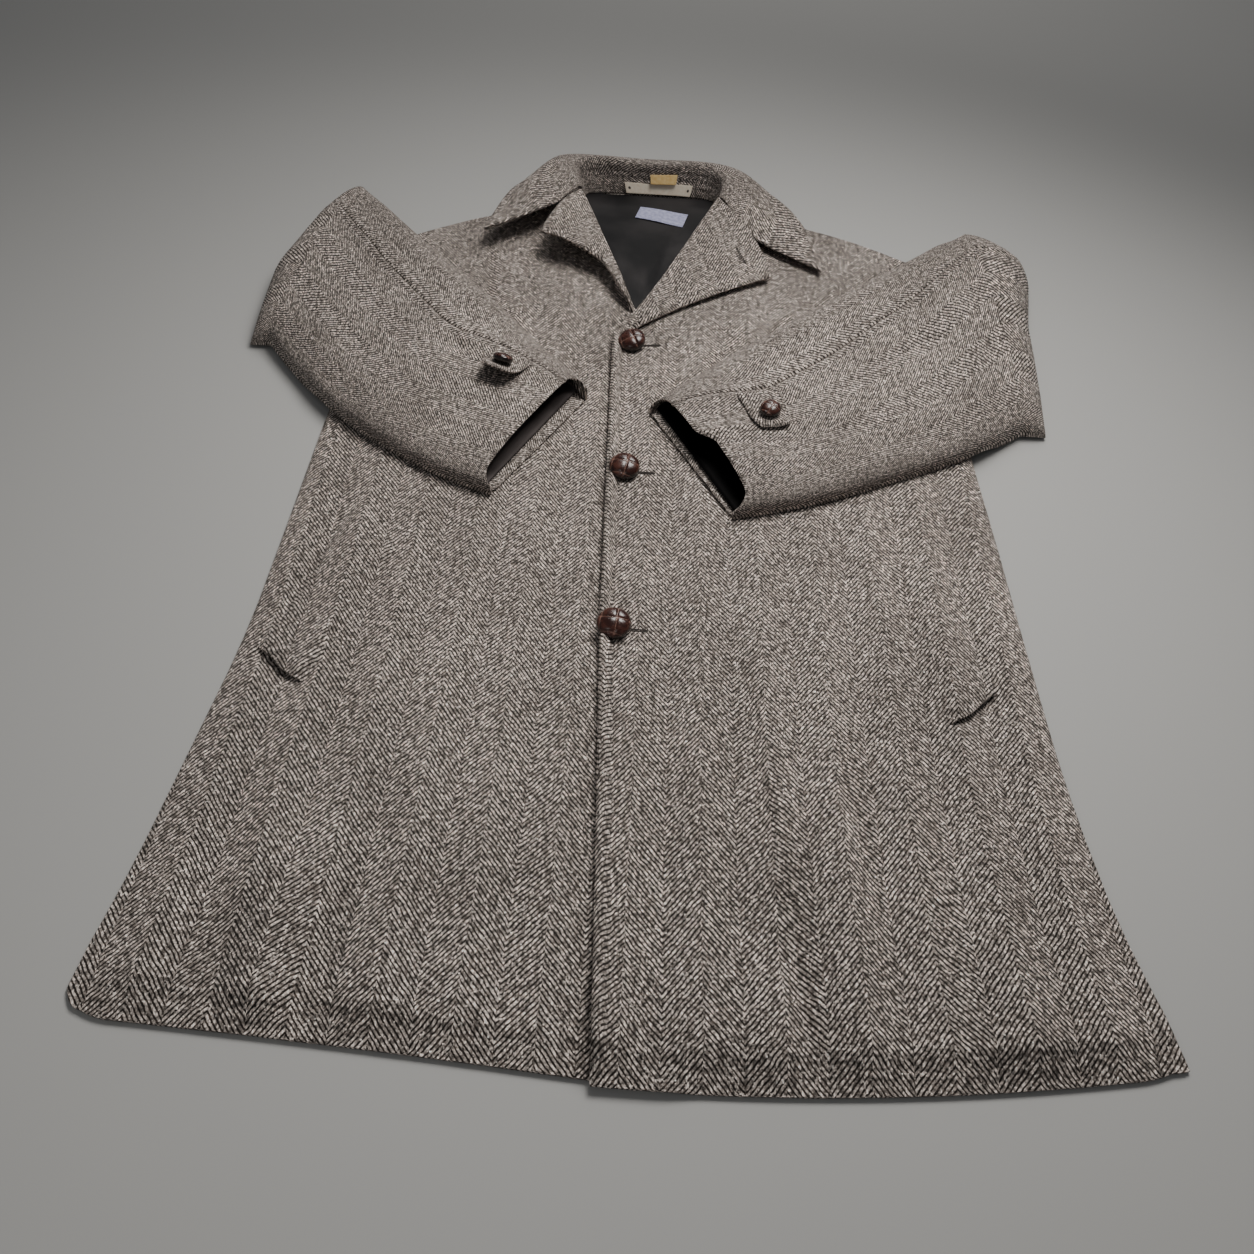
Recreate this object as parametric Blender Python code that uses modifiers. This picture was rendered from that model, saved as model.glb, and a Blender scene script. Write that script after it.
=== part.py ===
"""Tweed overcoat, laid on its back and buttoned, with both sleeves folded over the chest.

The tables are in millimetres and become metres where a mesh is placed.
x runs to the viewer's right, y from the hem to the collar, z up from the surface it lies on.
Left and right are as worn, so the left side has positive x.
"""
import math

import bmesh
import bpy
from mathutils import Vector

MM = 0.001

# Cloth
WALL = 2.4
GAP = 0.3
LINING_WALL = 1.0
TRIM_WALL = 0.8
LAYER = WALL + GAP

# Middle of the coat's length, between the hem and the back edge of the collar
MIDDLE_Y = 551.35
SIDES = {"left": 1, "right": -1}

# Outline of the body: height above the hem, half width on the right and on the left
BODY_SECTIONS = (
    # y, right, left
    (30.0, 347.0, 352.0),
    (110.0, 339.0, 335.0),
    (230.0, 325.0, 319.0),
    (340.0, 312.0, 313.0),
    (500.0, 307.0, 306.0),
    (615.0, 304.0, 300.0),
    (760.0, 299.0, 297.0),
    (915.0, 293.0, 293.0),
)
HEM_SAG = {1: 12.0, -1: 7.0}
HEM_CORNER_Y = 30.0
HEM_CORNER_RISE = 5.0
HEM_CORNER_FROM = 0.9
SHOULDER_Y = 915.0
SHOULDER_BULGE = 14.0
NECK_TOP_Y = 1008.0
BACK_NECK_Y = 1048.0
BACK_NECK_HALF = 62.0

# Front edge of the upper front, then its roll line up to the neck
UPPER_EDGE = (
    # y, x
    (-2.0, -18.0),
    (126.0, -23.0),
    (373.0, -34.0),
    (751.0, -43.0),
    (800.0, -16.0),
    (1008.0, 66.0),
)
# The under front runs on beneath the upper one, then follows its own roll line
UNDER_EDGE = (
    # y, x
    (-1.0, 24.0),
    (126.0, 19.0),
    (373.0, 8.0),
    (751.0, -2.0),
    (800.0, -20.0),
    (1008.0, -94.0),
)

# How the fronts lie: top of the under front, top of the upper front, soft swell and side roll
UNDER_TOP = WALL + LAYER
UPPER_TOP = UNDER_TOP + LAYER
SWELL = 7.0
SWELL_FROM_SIDE = 90.0
SWELL_FROM_EDGE = 120.0
SWELL_FROM_SHOULDER = 230.0
SWELL_SHOULDER_Y = 985.0
OVERLAP_EASE = 6.0
# The upper front's edge stands a little proud of the under front, as far as the lapel's foot
PROUD_EDGE = 2.0
PROUD_EDGE_OVER = 34.0
PROUD_EDGE_END_Y = 790.0
PROUD_EDGE_FADE = 40.0
NECK_LIFT = 3.0
NECK_LIFT_FROM = 757.0
NECK_LIFT_OVER = 45.0
UPPER_LIFT_LEAD = 14.0
NECK_LIFT_REACH = 150.0
NECK_LIFT_FADE = 70.0
SIDE_ROLL = 11.0
SIDE_FOOT = 1.5
# Share of a front's columns that lie flat; the others go round the side roll
FRONT_FLAT_SHARE = 0.76
# The back keeps this far inside the side roll, and its hem runs between these heights
BACK_ROOM = SIDE_ROLL + 0.5
BACK_HEM_Y = 7.0
BACK_HEM_CORNER_Y = 31.0
BACK_CORNER_FROM = 0.86
BACK_CORNER_RISE = 8.0

# Largest folds of the fronts: ridges are positive, troughs negative
FOLDS = (
    # x at foot, y at foot, x at head, y at head, half width, height
    (95.0, 40.0, 86.0, 330.0, 15.0, -5.0),
    (140.0, 0.0, 128.0, 260.0, 22.0, 5.0),
    (122.0, -40.0, 100.0, 150.0, 16.0, -4.0),
    (212.0, -40.0, 190.0, 190.0, 20.0, -4.5),
    (262.0, -30.0, 232.0, 210.0, 24.0, 4.0),
    (-262.0, -30.0, -285.0, 230.0, 20.0, -4.5),
    (-232.0, -30.0, -240.0, 200.0, 20.0, 4.5),
    (-206.0, -40.0, -188.0, 170.0, 16.0, -5.0),
    (-165.0, 20.0, -150.0, 230.0, 22.0, 4.0),
    (-90.0, -20.0, -80.0, 240.0, 26.0, 3.0),
)
# Share of a fold's length in which it grows at the foot and dies away at the head
FOLD_FOOT_SHARE = 0.25
FOLD_HEAD_SHARE = 0.4

# Lapels: roll line and outer edge, foot to head, as (x, y, z)
LAPELS = {
    "left": {
        "roll": ((-37.0, 766.0, 14.5), (0.0, 842.0, 20.0), (62.8, 1007.0, 27.0)),
        "edge": ((-27.0, 757.0, 13.0), (32.0, 803.0, 18.5), (120.0, 858.0, 20.5)),
        "bow": 9.0,
    },
    "right": {
        "roll": ((-24.0, 806.0, 10.5), (-40.0, 856.0, 21.0), (-89.8, 1007.0, 28.0)),
        "edge": ((-36.0, 796.0, 10.3), (-60.5, 859.0, 31.0), (-127.8, 896.0, 38.0)),
        "bow": -7.0,
    },
}
LAPEL_ROLL_RADIUS = 4.6
LAPEL_WALL = 2.0
# Share of a lapel's columns in the curl at its roll line, and where that curl starts, in half turns
LAPEL_CURL_SHARE = 0.3
LAPEL_CURL_START = -0.35
# The curl grows over this share of the lapel's length, up from its foot
LAPEL_CURL_GROWS = 0.5
LAPEL_BELLY = 1.5
LAPEL_RADIUS_SHARE = 0.16

# Collar: one row for each section, from the right notch round the back to the left notch
COLLAR = (
    # seam, roll, fall, leaf
    ((-88.0, 1019.0, 4.8), (-92.0, 1010.0, 30.0), (-116.7, 955.2, 36.0), (-189.5, 900.6, 34.0)),
    ((-90.0, 1028.0, 4.8), (-97.0, 1026.0, 37.0), (-136.5, 995.4, 40.0), (-185.2, 944.5, 27.0)),
    ((-84.0, 1036.0, 4.8), (-98.0, 1040.0, 42.0), (-128.0, 1044.0, 42.0), (-168.0, 1012.0, 20.0)),
    ((-58.0, 1042.0, 4.0), (-72.0, 1050.0, 44.5), (-104.0, 1077.0, 31.0), (-122.0, 1082.0, 7.0)),
    ((-15.0, 1044.0, 3.6), (-20.0, 1051.0, 39.0), (-20.0, 1083.0, 27.0), (-20.0, 1105.9, 3.4)),
    ((30.0, 1042.0, 4.0), (40.0, 1052.0, 42.0), (70.0, 1074.0, 30.0), (88.0, 1084.0, 7.0)),
    ((58.0, 1034.0, 4.8), (66.0, 1038.0, 38.0), (106.0, 1038.0, 31.0), (146.0, 1008.0, 14.0)),
    ((63.0, 1026.0, 4.8), (69.0, 1023.0, 33.0), (118.0, 985.0, 25.0), (172.0, 936.0, 15.0)),
    ((63.0, 1018.0, 4.8), (65.5, 1009.0, 28.0), (102.5, 931.0, 20.0), (175.0, 879.0, 19.0)),
)
STAND_SHARE = 0.36
FALL_SHARE = 0.7
ROLL_SOFTNESS = 0.07

# Folded sleeves: plan corners, bow of the lower edge, height of the tube along it
SLEEVES = {
    "left": {
        "cuff_low": (74.0, 489.0),
        "cuff_top": (-2.0, 634.0),
        "elbow": (352.0, 640.0),
        "tip": (340.0, 974.0),
        "bow": 20.0,
    },
    "right": {
        "cuff_low": (-137.0, 506.0),
        "cuff_top": (-62.0, 654.0),
        "elbow": (-380.0, 714.0),
        "tip": (-338.0, 1000.0),
        "bow": 34.0,
    },
}
SLEEVE_HEIGHT = (
    # along, height
    (0.0, 27.0),
    (0.3, 30.0),
    (0.7, 33.0),
    (1.0, 36.0),
)
# Reach of the outer fold beyond the elbow and the tip, across from elbow to tip
FOLD_REACH = {
    "left": ((0.0, 24.0), (0.5, 42.0), (0.78, 62.4), (0.9, 59.0), (1.0, 24.0)),
    "right": ((0.0, 20.0), (0.42, 41.0), (0.8, 30.0), (1.0, 14.0)),
}
# Place of the over-arm seam, as a share of the width from the upper edge
OVERARM_SEAM = {
    # along, share
    "left": ((0.0, 0.14), (0.22, 0.39), (0.45, 0.37), (0.7, 0.3), (1.0, 0.15)),
    "right": ((0.0, 0.12), (0.2, 0.23), (0.41, 0.37), (0.7, 0.32), (1.0, 0.25)),
}
FOLD_SHARE = 0.16
# The upper layer of a cuff stops short of the lower one, so that its mouth stands open
MOUTH_SLANT = {"left": 0.042, "right": 0.04}
MOUTH_SLANT_END = 0.5
SLEEVE_CLEARANCE = 0.6
BULGE_POWER = 0.55
UNDER_LAYER_END = 0.6
# Half gap of the over-arm seam on the sleeve and at its outer fold, and where it widens
SEAM_GAP = 0.25
FOLD_SEAM_GAP = 1.0
FOLD_SEAM_FROM = 0.5
FOLD_SEAM_OVER = 0.3
# The sleeve's edges are lifted off the layer beneath, over this share of a piece's width
EDGE_LIFT = 0.8
EDGE_LIFT_SHARE = 0.25
LINING_INSET = 4.2
LINING_POWER = 1.0
UNDER_INSET = 5.4
BODY_SHELF = 16.0
FLOOR_FALL = 34.0
FOLD_FOOT = SIDE_FOOT + 0.3

# Hidden upper arm: how it stops short of the elbow, the tip, the body and the outer fold
UPPER_ARM_FROM_ELBOW = 22.0
UPPER_ARM_FROM_TIP = 92.0
UPPER_ARM_FROM_BODY = 1.0
UPPER_ARM_FROM_FOLD = 12.0
UPPER_ARM_THICKNESS = 15.0
UPPER_ARM_THINNING = 0.45

# Cuff lining, tabs and buttons
LINING_FROM = 0.02
LINING_TO = 0.3
TAB_WIDTH = 0.105
TAB_START = {"left": 0.165, "right": 0.14}
TAB_LENGTH = {"left": 0.25, "right": 0.22}
TAB_LIFT = {"left": 0.8, "right": 9.0}
TAB_CLEARANCE = 0.6
TAB_FROM_SEAM = 0.02
# The tab's free end is rounded over its last part, down to this share of its width
TAB_ROUND_FROM = 0.6
TAB_ROUND_LENGTH = 0.49
TAB_END_WIDTH = 0.35
TAB_BUTTON_SPOT = (0.5, 0.62)
CUFF_BUTTON = 18.0
FRONT_BUTTON = 28.0
BUTTON_RISE = 0.8
BUTTON_HEIGHT_SHARE = 0.5
BUTTON_PROFILE = (
    # share of radius, share of height
    (0.0, 1.0),
    (0.48, 0.93),
    (0.84, 0.69),
    (1.0, 0.34),
    (0.78, 0.0),
    (0.0, 0.0),
)
BUTTON_STEPS = 16
FRONT_BUTTON_X = -22.0
FRONT_BUTTON_YS = (742.0, 552.0, 364.0)

# Slanted pocket welts, as plan corners: lower outer, lower inner, upper inner, upper outer
WELTS = {
    "left": ((280.0, 318.0), (235.0, 282.0), (205.0, 446.0), (246.0, 478.0)),
    "right": ((-300.0, 326.0), (-255.0, 290.0), (-207.0, 438.0), (-250.0, 500.0)),
}
WELT_WALL = 2.0
WELT_LIFT = 3.0
WELT_CLEARANCE = 0.5

# Lining and trims in the neck
NECK_LINING_FOOT = 812.0
NECK_LINING_HEAD = 1038.0
NECK_LINING_TUCK = 9.0
LABEL_CENTRE = (1.0, 994.0)
LABEL_SIZE = (56.0, 28.0)
LABEL_TURN = math.radians(-13.0)
# Trims on the collar stand: reach in x, then reach up the stand as shares of it
STRIP_SPAN = (-46.0, 31.0)
STRIP_RISE = (0.06, 0.34)
SIZE_TAB_SPAN = (-16.0, 10.0)
SIZE_TAB_RISE = (0.38, 0.63)
TRIM_PROUD = 1.3
STAND_STATIONS = (
    # x, share of the way round the collar
    (-46.0, 0.43),
    (34.0, 0.64),
)


def clear_scene():
    for old in list(bpy.data.objects):
        bpy.data.objects.remove(old, do_unlink=True)


def lerp(a, b, t):
    return a + (b - a) * t


def mix(p, q, t):
    return tuple(lerp(a, b, t) for a, b in zip(p, q))


def ease(t):
    t = min(max(t, 0.0), 1.0)
    return t * t * (3.0 - 2.0 * t)


def read(rows, station, column=1):
    """Value of a column between the two rows that hold the station."""
    for low, high in zip(rows, rows[1:]):
        if station <= high[0]:
            break
    t = min(max((station - low[0]) / (high[0] - low[0]), 0.0), 1.0)
    return lerp(low[column], high[column], t)


def along(points, t):
    """Point at t on an open line of evenly numbered points."""
    place = min(max(t, 0.0), 1.0) * (len(points) - 1)
    first = min(int(place), len(points) - 2)
    return mix(points[first], points[first + 1], place - first)


def curved(points, t):
    """Point at t on a smooth curve through evenly numbered points."""
    place = min(max(t, 0.0), 1.0) * (len(points) - 1)
    i = min(int(place), len(points) - 2)
    u = place - i
    before = points[max(i - 1, 0)]
    after = points[min(i + 2, len(points) - 1)]
    rows = zip(before, points[i], points[i + 1], after)
    return tuple(
        0.5 * (2 * b + (c - a) * u + (2 * a - 5 * b + 4 * c - d) * u * u
               + (3 * b - a - 3 * c + d) * u ** 3)
        for a, b, c, d in rows
    )


def material(name, colour, roughness):
    finish = bpy.data.materials.new(name)
    finish.use_nodes = True
    shader = finish.node_tree.nodes["Principled BSDF"]
    shader.inputs["Base Color"].default_value = (*colour, 1.0)
    shader.inputs["Roughness"].default_value = roughness
    shader.inputs["Metallic"].default_value = 0.0
    return finish


def add_object(name, mesh, finish):
    mesh.materials.append(finish)
    piece = bpy.data.objects.new(name, mesh)
    COAT.objects.link(piece)
    return piece


def to_world(point):
    x, y, z = point
    return (x * MM, (y - MIDDLE_Y) * MM, z * MM)


def cloth(name, columns, rows, place, wall, finish, closed=False):
    """A grid laid by place(s, t) as the outer face of a cloth wall."""
    bm = bmesh.new()
    bmesh.ops.create_grid(bm, x_segments=columns, y_segments=rows, size=0.5)
    for vert in bm.verts:
        vert.co = to_world(place(vert.co.x + 0.5, vert.co.y + 0.5))
    if closed:
        bmesh.ops.remove_doubles(bm, verts=bm.verts[:], dist=0.00001)
    mesh = bpy.data.meshes.new(name)
    bm.to_mesh(mesh)
    bm.free()
    mesh.shade_smooth()
    piece = add_object(name, mesh, finish)
    solid = piece.modifiers.new("Wall", "SOLIDIFY")
    solid.thickness = wall * MM
    solid.offset = -1.0
    return piece


def body_half(side, y):
    return read(BODY_SECTIONS, y, 1 if side < 0 else 2)


def edge_rows(side):
    return UPPER_EDGE if side > 0 else UNDER_EDGE


def front_height(side, x, y):
    """Height of a front's outer face over a plan point."""
    lie = UPPER_TOP if side > 0 else UNDER_TOP
    from_side = body_half(side, y) - side * x
    from_edge = side * (x - read(edge_rows(side), y))
    if side < 0:
        from_edge = min(from_edge, read(UPPER_EDGE, y) - x) - OVERLAP_EASE
    swell = SWELL * ease(from_side / SWELL_FROM_SIDE) * ease(from_edge / SWELL_FROM_EDGE)
    swell *= ease((SWELL_SHOULDER_Y - y) / SWELL_FROM_SHOULDER)
    early = UPPER_LIFT_LEAD if side > 0 else 0.0
    lift = NECK_LIFT * ease((y + early - NECK_LIFT_FROM) / NECK_LIFT_OVER)
    lift *= ease((NECK_LIFT_REACH - abs(x)) / NECK_LIFT_FADE)
    folds = 0.0
    for foot_x, foot_y, head_x, head_y, half, rise in FOLDS:
        share = (y - foot_y) / (head_y - foot_y)
        middle = lerp(foot_x, head_x, share)
        window = ease(share / FOLD_FOOT_SHARE) * ease((1.0 - share) / FOLD_HEAD_SHARE)
        folds += rise * window * math.exp(-((x - middle) / half) ** 2)
    proud = 0.0
    if side > 0:
        proud = PROUD_EDGE * (1.0 - ease(from_edge / PROUD_EDGE_OVER))
        proud *= ease((PROUD_EDGE_END_Y - y) / PROUD_EDGE_FADE)
    return lie + proud + max(swell + lift + folds, 0.0)


def front_plan(side, s, t):
    """Plan point of a front: s from the front edge to the side, t from hem to shoulder."""
    inner_y = lerp(edge_rows(side)[0][0], NECK_TOP_Y, t)
    outer_y = lerp(HEM_CORNER_Y, SHOULDER_Y, t)
    inner = (read(edge_rows(side), inner_y), inner_y)
    outer = (side * (body_half(side, outer_y) - SIDE_ROLL), outer_y)
    x, y = mix(inner, outer, s)
    bow = 4.0 * s * (1.0 - s)
    corner = max(s - HEM_CORNER_FROM, 0.0) / (1.0 - HEM_CORNER_FROM)
    y += bow * (SHOULDER_BULGE * t ** 8 - HEM_SAG[side] * (1.0 - t) ** 4)
    y += HEM_CORNER_RISE * corner * corner * (1.0 - t) ** 12
    return x, y


def front_point(side, s, t):
    """Outer face of a front; its last columns roll down round the side seam."""
    x, y = front_plan(side, min(s / FRONT_FLAT_SHARE, 1.0), t)
    z = front_height(side, x, y)
    turn = max(s - FRONT_FLAT_SHARE, 0.0) / (1.0 - FRONT_FLAT_SHARE) * math.pi / 2
    x += side * SIDE_ROLL * math.sin(turn)
    z = SIDE_FOOT + (z - SIDE_FOOT) * math.cos(turn)
    return x, y, z


def build_body():
    def back_place(s, t):
        share = 2.0 * s - 1.0
        side = 1 if share > 0 else -1
        hem_y = lerp(BACK_HEM_Y, BACK_HEM_CORNER_Y, share * share)
        slope = (BACK_NECK_Y - SHOULDER_Y) / (body_half(side, SHOULDER_Y) - BACK_NECK_HALF)
        reach = abs(share) * body_half(side, SHOULDER_Y)
        top_y = BACK_NECK_Y - slope * max(reach - BACK_NECK_HALF, 0.0)
        corner = max(abs(share) - BACK_CORNER_FROM, 0.0) / (1.0 - BACK_CORNER_FROM)
        y = lerp(hem_y, top_y, t) + BACK_CORNER_RISE * corner * corner * (1.0 - t) ** 12
        return share * (body_half(side, y) - BACK_ROOM), y, WALL

    cloth("back", 10, 12, back_place, WALL, TWEED)
    for name, side in SIDES.items():
        def place(s, t, side=side):
            return front_point(side, s if side > 0 else 1.0 - s, t)
        cloth("front_" + name, 14, 20, place, WALL, TWEED)


def lapel_point(name, s, t):
    """Lapel face: s from the curl under the roll line to the outer edge, t from foot to gorge."""
    table = LAPELS[name]
    roll = along(table["roll"], t)
    edge = along(table["edge"], t)
    span = math.hypot(edge[0] - roll[0], edge[1] - roll[1])
    radius = min(LAPEL_ROLL_RADIUS, span * LAPEL_RADIUS_SHARE)
    if s > LAPEL_CURL_SHARE:
        flat = (s - LAPEL_CURL_SHARE) / (1.0 - LAPEL_CURL_SHARE)
        reach = lerp(radius, span, flat)
        z = lerp(roll[2], edge[2], flat) + LAPEL_BELLY * math.sin(flat * math.pi)
    else:
        curl = s / LAPEL_CURL_SHARE
        turn = lerp(LAPEL_CURL_START, 0.5, curl) * math.pi
        curled = (radius * (1.0 - math.cos(turn)), roll[2] - radius + radius * math.sin(turn))
        reach, z = mix((radius * curl, roll[2]), curled, ease(t / LAPEL_CURL_GROWS))
    share = reach / span
    x, y = mix(roll[:2], edge[:2], share)
    x += table["bow"] * 4.0 * share * (1.0 - share) * t ** 6
    return x, y, z


def collar_point(s, t):
    """Collar face: s round the neck from the right to the left notch, t from seam to leaf edge."""
    lines = [curved([row[column] for row in COLLAR], s) for column in range(4)]
    stops = (0.0, STAND_SHARE, FALL_SHARE, 1.0)

    def straight(u):
        u = min(max(u, 0.0), 1.0)
        for i in range(3):
            if u <= stops[i + 1]:
                break
        return mix(lines[i], lines[i + 1], (u - stops[i]) / (stops[i + 1] - stops[i]))

    soft = min(ROLL_SOFTNESS, t, 1.0 - t)
    samples = [straight(t - soft), straight(t), straight(t + soft)]
    return tuple(sum(values) / 3.0 for values in zip(*samples))


def build_collar():
    for name, side in SIDES.items():
        def place(s, t, name=name, side=side):
            return lapel_point(name, s if side > 0 else 1.0 - s, t)
        cloth("lapel_" + name, 9, 8, place, LAPEL_WALL, TWEED)
    cloth("collar", 20, 10, collar_point, WALL, TWEED)


def rest_height(side, x, y):
    """What a folded sleeve lies on: the front, then the floor beyond the side seam."""
    half = body_half(side, y) - SIDE_ROLL
    past = side * x - half
    on_front = front_height(side, side * min(side * x, half), y)
    return lerp(on_front, SIDE_FOOT, ease((past - BODY_SHELF) / FLOOR_FALL))


def sleeve_edges(name, a):
    """Lower and upper edge of the folded sleeve at a, from the cuff to the outer fold."""
    table = SLEEVES[name]
    low = mix(table["cuff_low"], table["elbow"], a)
    top = mix(table["cuff_top"], table["tip"], a)
    low = (low[0], low[1] - table["bow"] * 4.0 * a * (1.0 - a))
    return low, top


def sleeve_point(name, a, turn, inset=0.0, power=BULGE_POWER):
    """Sleeve tube: turn 0 is the lower edge, pi the upper edge, pi to 2 pi the layer beneath.

    Beyond a = 1 the cloth goes down round the outer fold.
    """
    side = SIDES[name]
    low, top = sleeve_edges(name, min(a, 1.0))
    width = math.dist(low, top)
    share = (1.0 - math.cos(turn)) / 2.0
    share = lerp(inset / width, 1.0 - inset / width, share)
    x, y = mix(low, top, share)
    height = read(SLEEVE_HEIGHT, min(a, 1.0)) - 2.0 * inset
    base = rest_height(side, x, y) + SLEEVE_CLEARANCE + inset
    arch = max(math.sin(turn), 0.0) ** power
    z = base + height * arch
    down = max(a - 1.0, 0.0) / FOLD_SHARE * math.pi / 2
    reach = read(FOLD_REACH[name], share)
    x += side * reach * math.sin(down)
    z = lerp(FOLD_FOOT, z, math.cos(down))
    return x, y, z


def seam_turn(name, a):
    """Turn of the over-arm seam."""
    share = 1.0 - read(OVERARM_SEAM[name], min(a, 1.0))
    return math.acos(1.0 - 2.0 * share)


def sleeve_sign(name, s):
    return s if SIDES[name] > 0 else 1.0 - s


def seam_gap(name, a):
    """Half the gap of the over-arm seam, as a turn."""
    low, top = sleeve_edges(name, min(a, 1.0))
    gap = lerp(SEAM_GAP, FOLD_SEAM_GAP, ease((a - FOLD_SEAM_FROM) / FOLD_SEAM_OVER))
    return gap / (math.dist(low, top) * math.sin(seam_turn(name, a)) / 2.0)


def behind_mouth(name, a, turn):
    """Moves a place on the sleeve back from the slanted mouth of its cuff."""
    arch = max(math.sin(turn), 0.0) ** 2
    return a + MOUTH_SLANT[name] * arch * max(1.0 - a / MOUTH_SLANT_END, 0.0)


def build_sleeve(name):
    def along_fold(s):
        return sleeve_sign(name, s) * (1.0 + FOLD_SHARE)

    def back_place(s, t):
        a = along_fold(s)
        turn = lerp(0.0, seam_turn(name, a) - seam_gap(name, a), t)
        x, y, z = sleeve_point(name, behind_mouth(name, a, turn), turn)
        return x, y, z + EDGE_LIFT * max(1.0 - t / EDGE_LIFT_SHARE, 0.0)

    def front_place(s, t):
        a = along_fold(s)
        turn = lerp(seam_turn(name, a) + seam_gap(name, a), math.pi, t)
        x, y, z = sleeve_point(name, behind_mouth(name, a, turn), turn)
        return x, y, z + EDGE_LIFT * max(1.0 - (1.0 - t) / EDGE_LIFT_SHARE, 0.0)

    def under_place(s, t):
        a = UNDER_LAYER_END * sleeve_sign(name, s)
        low, top = sleeve_edges(name, a)
        inset = UNDER_INSET / math.dist(low, top)
        x, y = mix(low, top, lerp(inset, 1.0 - inset, t))
        return x, y, rest_height(SIDES[name], x, y) + SLEEVE_CLEARANCE + WALL

    def lining_place(s, t):
        turn = 2.0 * math.pi * t
        a = behind_mouth(name, lerp(LINING_FROM, LINING_TO, sleeve_sign(name, s)), turn)
        return sleeve_point(name, a, turn, LINING_INSET, LINING_POWER)

    cloth("sleeve_%s_back" % name, 18, 8, back_place, WALL, TWEED)
    cloth("sleeve_%s_front" % name, 18, 5, front_place, WALL, TWEED)
    cloth("sleeve_%s_under" % name, 8, 6, under_place, WALL, TWEED)
    cloth("cuff_lining_" + name, 4, 16, lining_place, LINING_WALL, LINING, closed=True)


def build_upper_arm(name):
    """Hidden layers between the armhole and the outer fold, as one rounded pad."""
    side = SIDES[name]
    table = SLEEVES[name]
    low_y = table["elbow"][1] + UPPER_ARM_FROM_ELBOW
    high_y = table["tip"][1] - UPPER_ARM_FROM_TIP
    bm = bmesh.new()
    bmesh.ops.create_cube(bm, size=1.0)
    bmesh.ops.subdivide_edges(bm, edges=bm.edges[:], cuts=3, use_grid_fill=True)
    for vert in bm.verts:
        u, v, w = (2.0 * value for value in vert.co)
        y = lerp(low_y, high_y, (v + 1.0) / 2.0)
        share = (y - table["elbow"][1]) / (table["tip"][1] - table["elbow"][1])
        inner = body_half(side, y) + UPPER_ARM_FROM_BODY
        fold_x = side * lerp(table["elbow"][0], table["tip"][0], share)
        outer = fold_x + read(FOLD_REACH[name], share) - UPPER_ARM_FROM_FOLD
        rounding = 1.0 - UPPER_ARM_THINNING * max(u, 0.0) ** 4
        x = lerp(inner, outer, (u + 1.0) / 2.0)
        z = SIDE_FOOT + UPPER_ARM_THICKNESS * rounding * (w + 1.0) / 2.0
        vert.co = to_world((side * x, y, z))
    if side < 0:
        bmesh.ops.reverse_faces(bm, faces=bm.faces[:])
    mesh = bpy.data.meshes.new("sleeve_%s_upper_arm" % name)
    bm.to_mesh(mesh)
    bm.free()
    add_object(mesh.name, mesh, TWEED)


def build_tab(name):
    """Cuff tab, let into the over-arm seam, and the button on it."""
    start = TAB_START[name]

    def place(s, t):
        s = sleeve_sign(name, s)
        past = max(t - TAB_ROUND_FROM, 0.0) / TAB_ROUND_LENGTH
        narrow = math.sqrt(1.0 - past * past)
        a = start + TAB_WIDTH * (0.5 + (s - 0.5) * lerp(TAB_END_WIDTH, 1.0, narrow))
        share = 1.0 - read(OVERARM_SEAM[name], a) - TAB_FROM_SEAM - TAB_LENGTH[name] * t
        x, y, z = sleeve_point(name, a, math.acos(1.0 - 2.0 * share))
        return x, y, z + WALL + TAB_CLEARANCE + TAB_LIFT[name] * t * t

    def flipped(s, t):
        return place(1.0 - s, t)

    cloth("cuff_tab_" + name, 4, 6, flipped, WALL, TWEED)
    build_button("cuff_button_" + name, CUFF_BUTTON, place, TAB_BUTTON_SPOT)


def build_button(name, diameter, surface, spot):
    """Domed button, turned from its half profile and set square on a surface(s, t)."""
    s, t = spot
    step = 0.05
    ahead = Vector(surface(s + step, t)) - Vector(surface(s - step, t))
    aside = Vector(surface(s, t + step)) - Vector(surface(s, t - step))
    up = ahead.cross(aside).normalized()
    up *= math.copysign(1.0, up.z)
    foot = Vector(surface(s, t)) + BUTTON_RISE * up
    radius = diameter / 2.0
    height = BUTTON_HEIGHT_SHARE * diameter
    bm = bmesh.new()
    verts = [bm.verts.new((r * radius * MM, 0.0, h * height * MM)) for r, h in BUTTON_PROFILE]
    for upper, lower in zip(verts, verts[1:]):
        bm.edges.new((upper, lower))
    mesh = bpy.data.meshes.new(name)
    bm.to_mesh(mesh)
    bm.free()
    piece = add_object(name, mesh, LEATHER)
    piece.location = to_world(foot)
    piece.rotation_euler = up.to_track_quat("Z", "Y").to_euler()
    screw = piece.modifiers.new("Turn", "SCREW")
    screw.steps = BUTTON_STEPS
    screw.render_steps = BUTTON_STEPS
    screw.use_merge_vertices = True
    screw.merge_threshold = 0.00001


def build_welt(name):
    side = SIDES[name]
    low_out, low_in, high_in, high_out = WELTS[name]

    def place(s, t):
        s = s if side > 0 else 1.0 - s
        inner = mix(low_in, high_in, t)
        outer = mix(low_out, high_out, t)
        x, y = mix(inner, outer, s)
        lift = WELT_LIFT * s * s * (1.0 - t) ** 2
        return x, y, front_height(side, x, y) + WELT_WALL + WELT_CLEARANCE + lift

    cloth("pocket_welt_" + name, 4, 10, place, WELT_WALL, TWEED)


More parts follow.
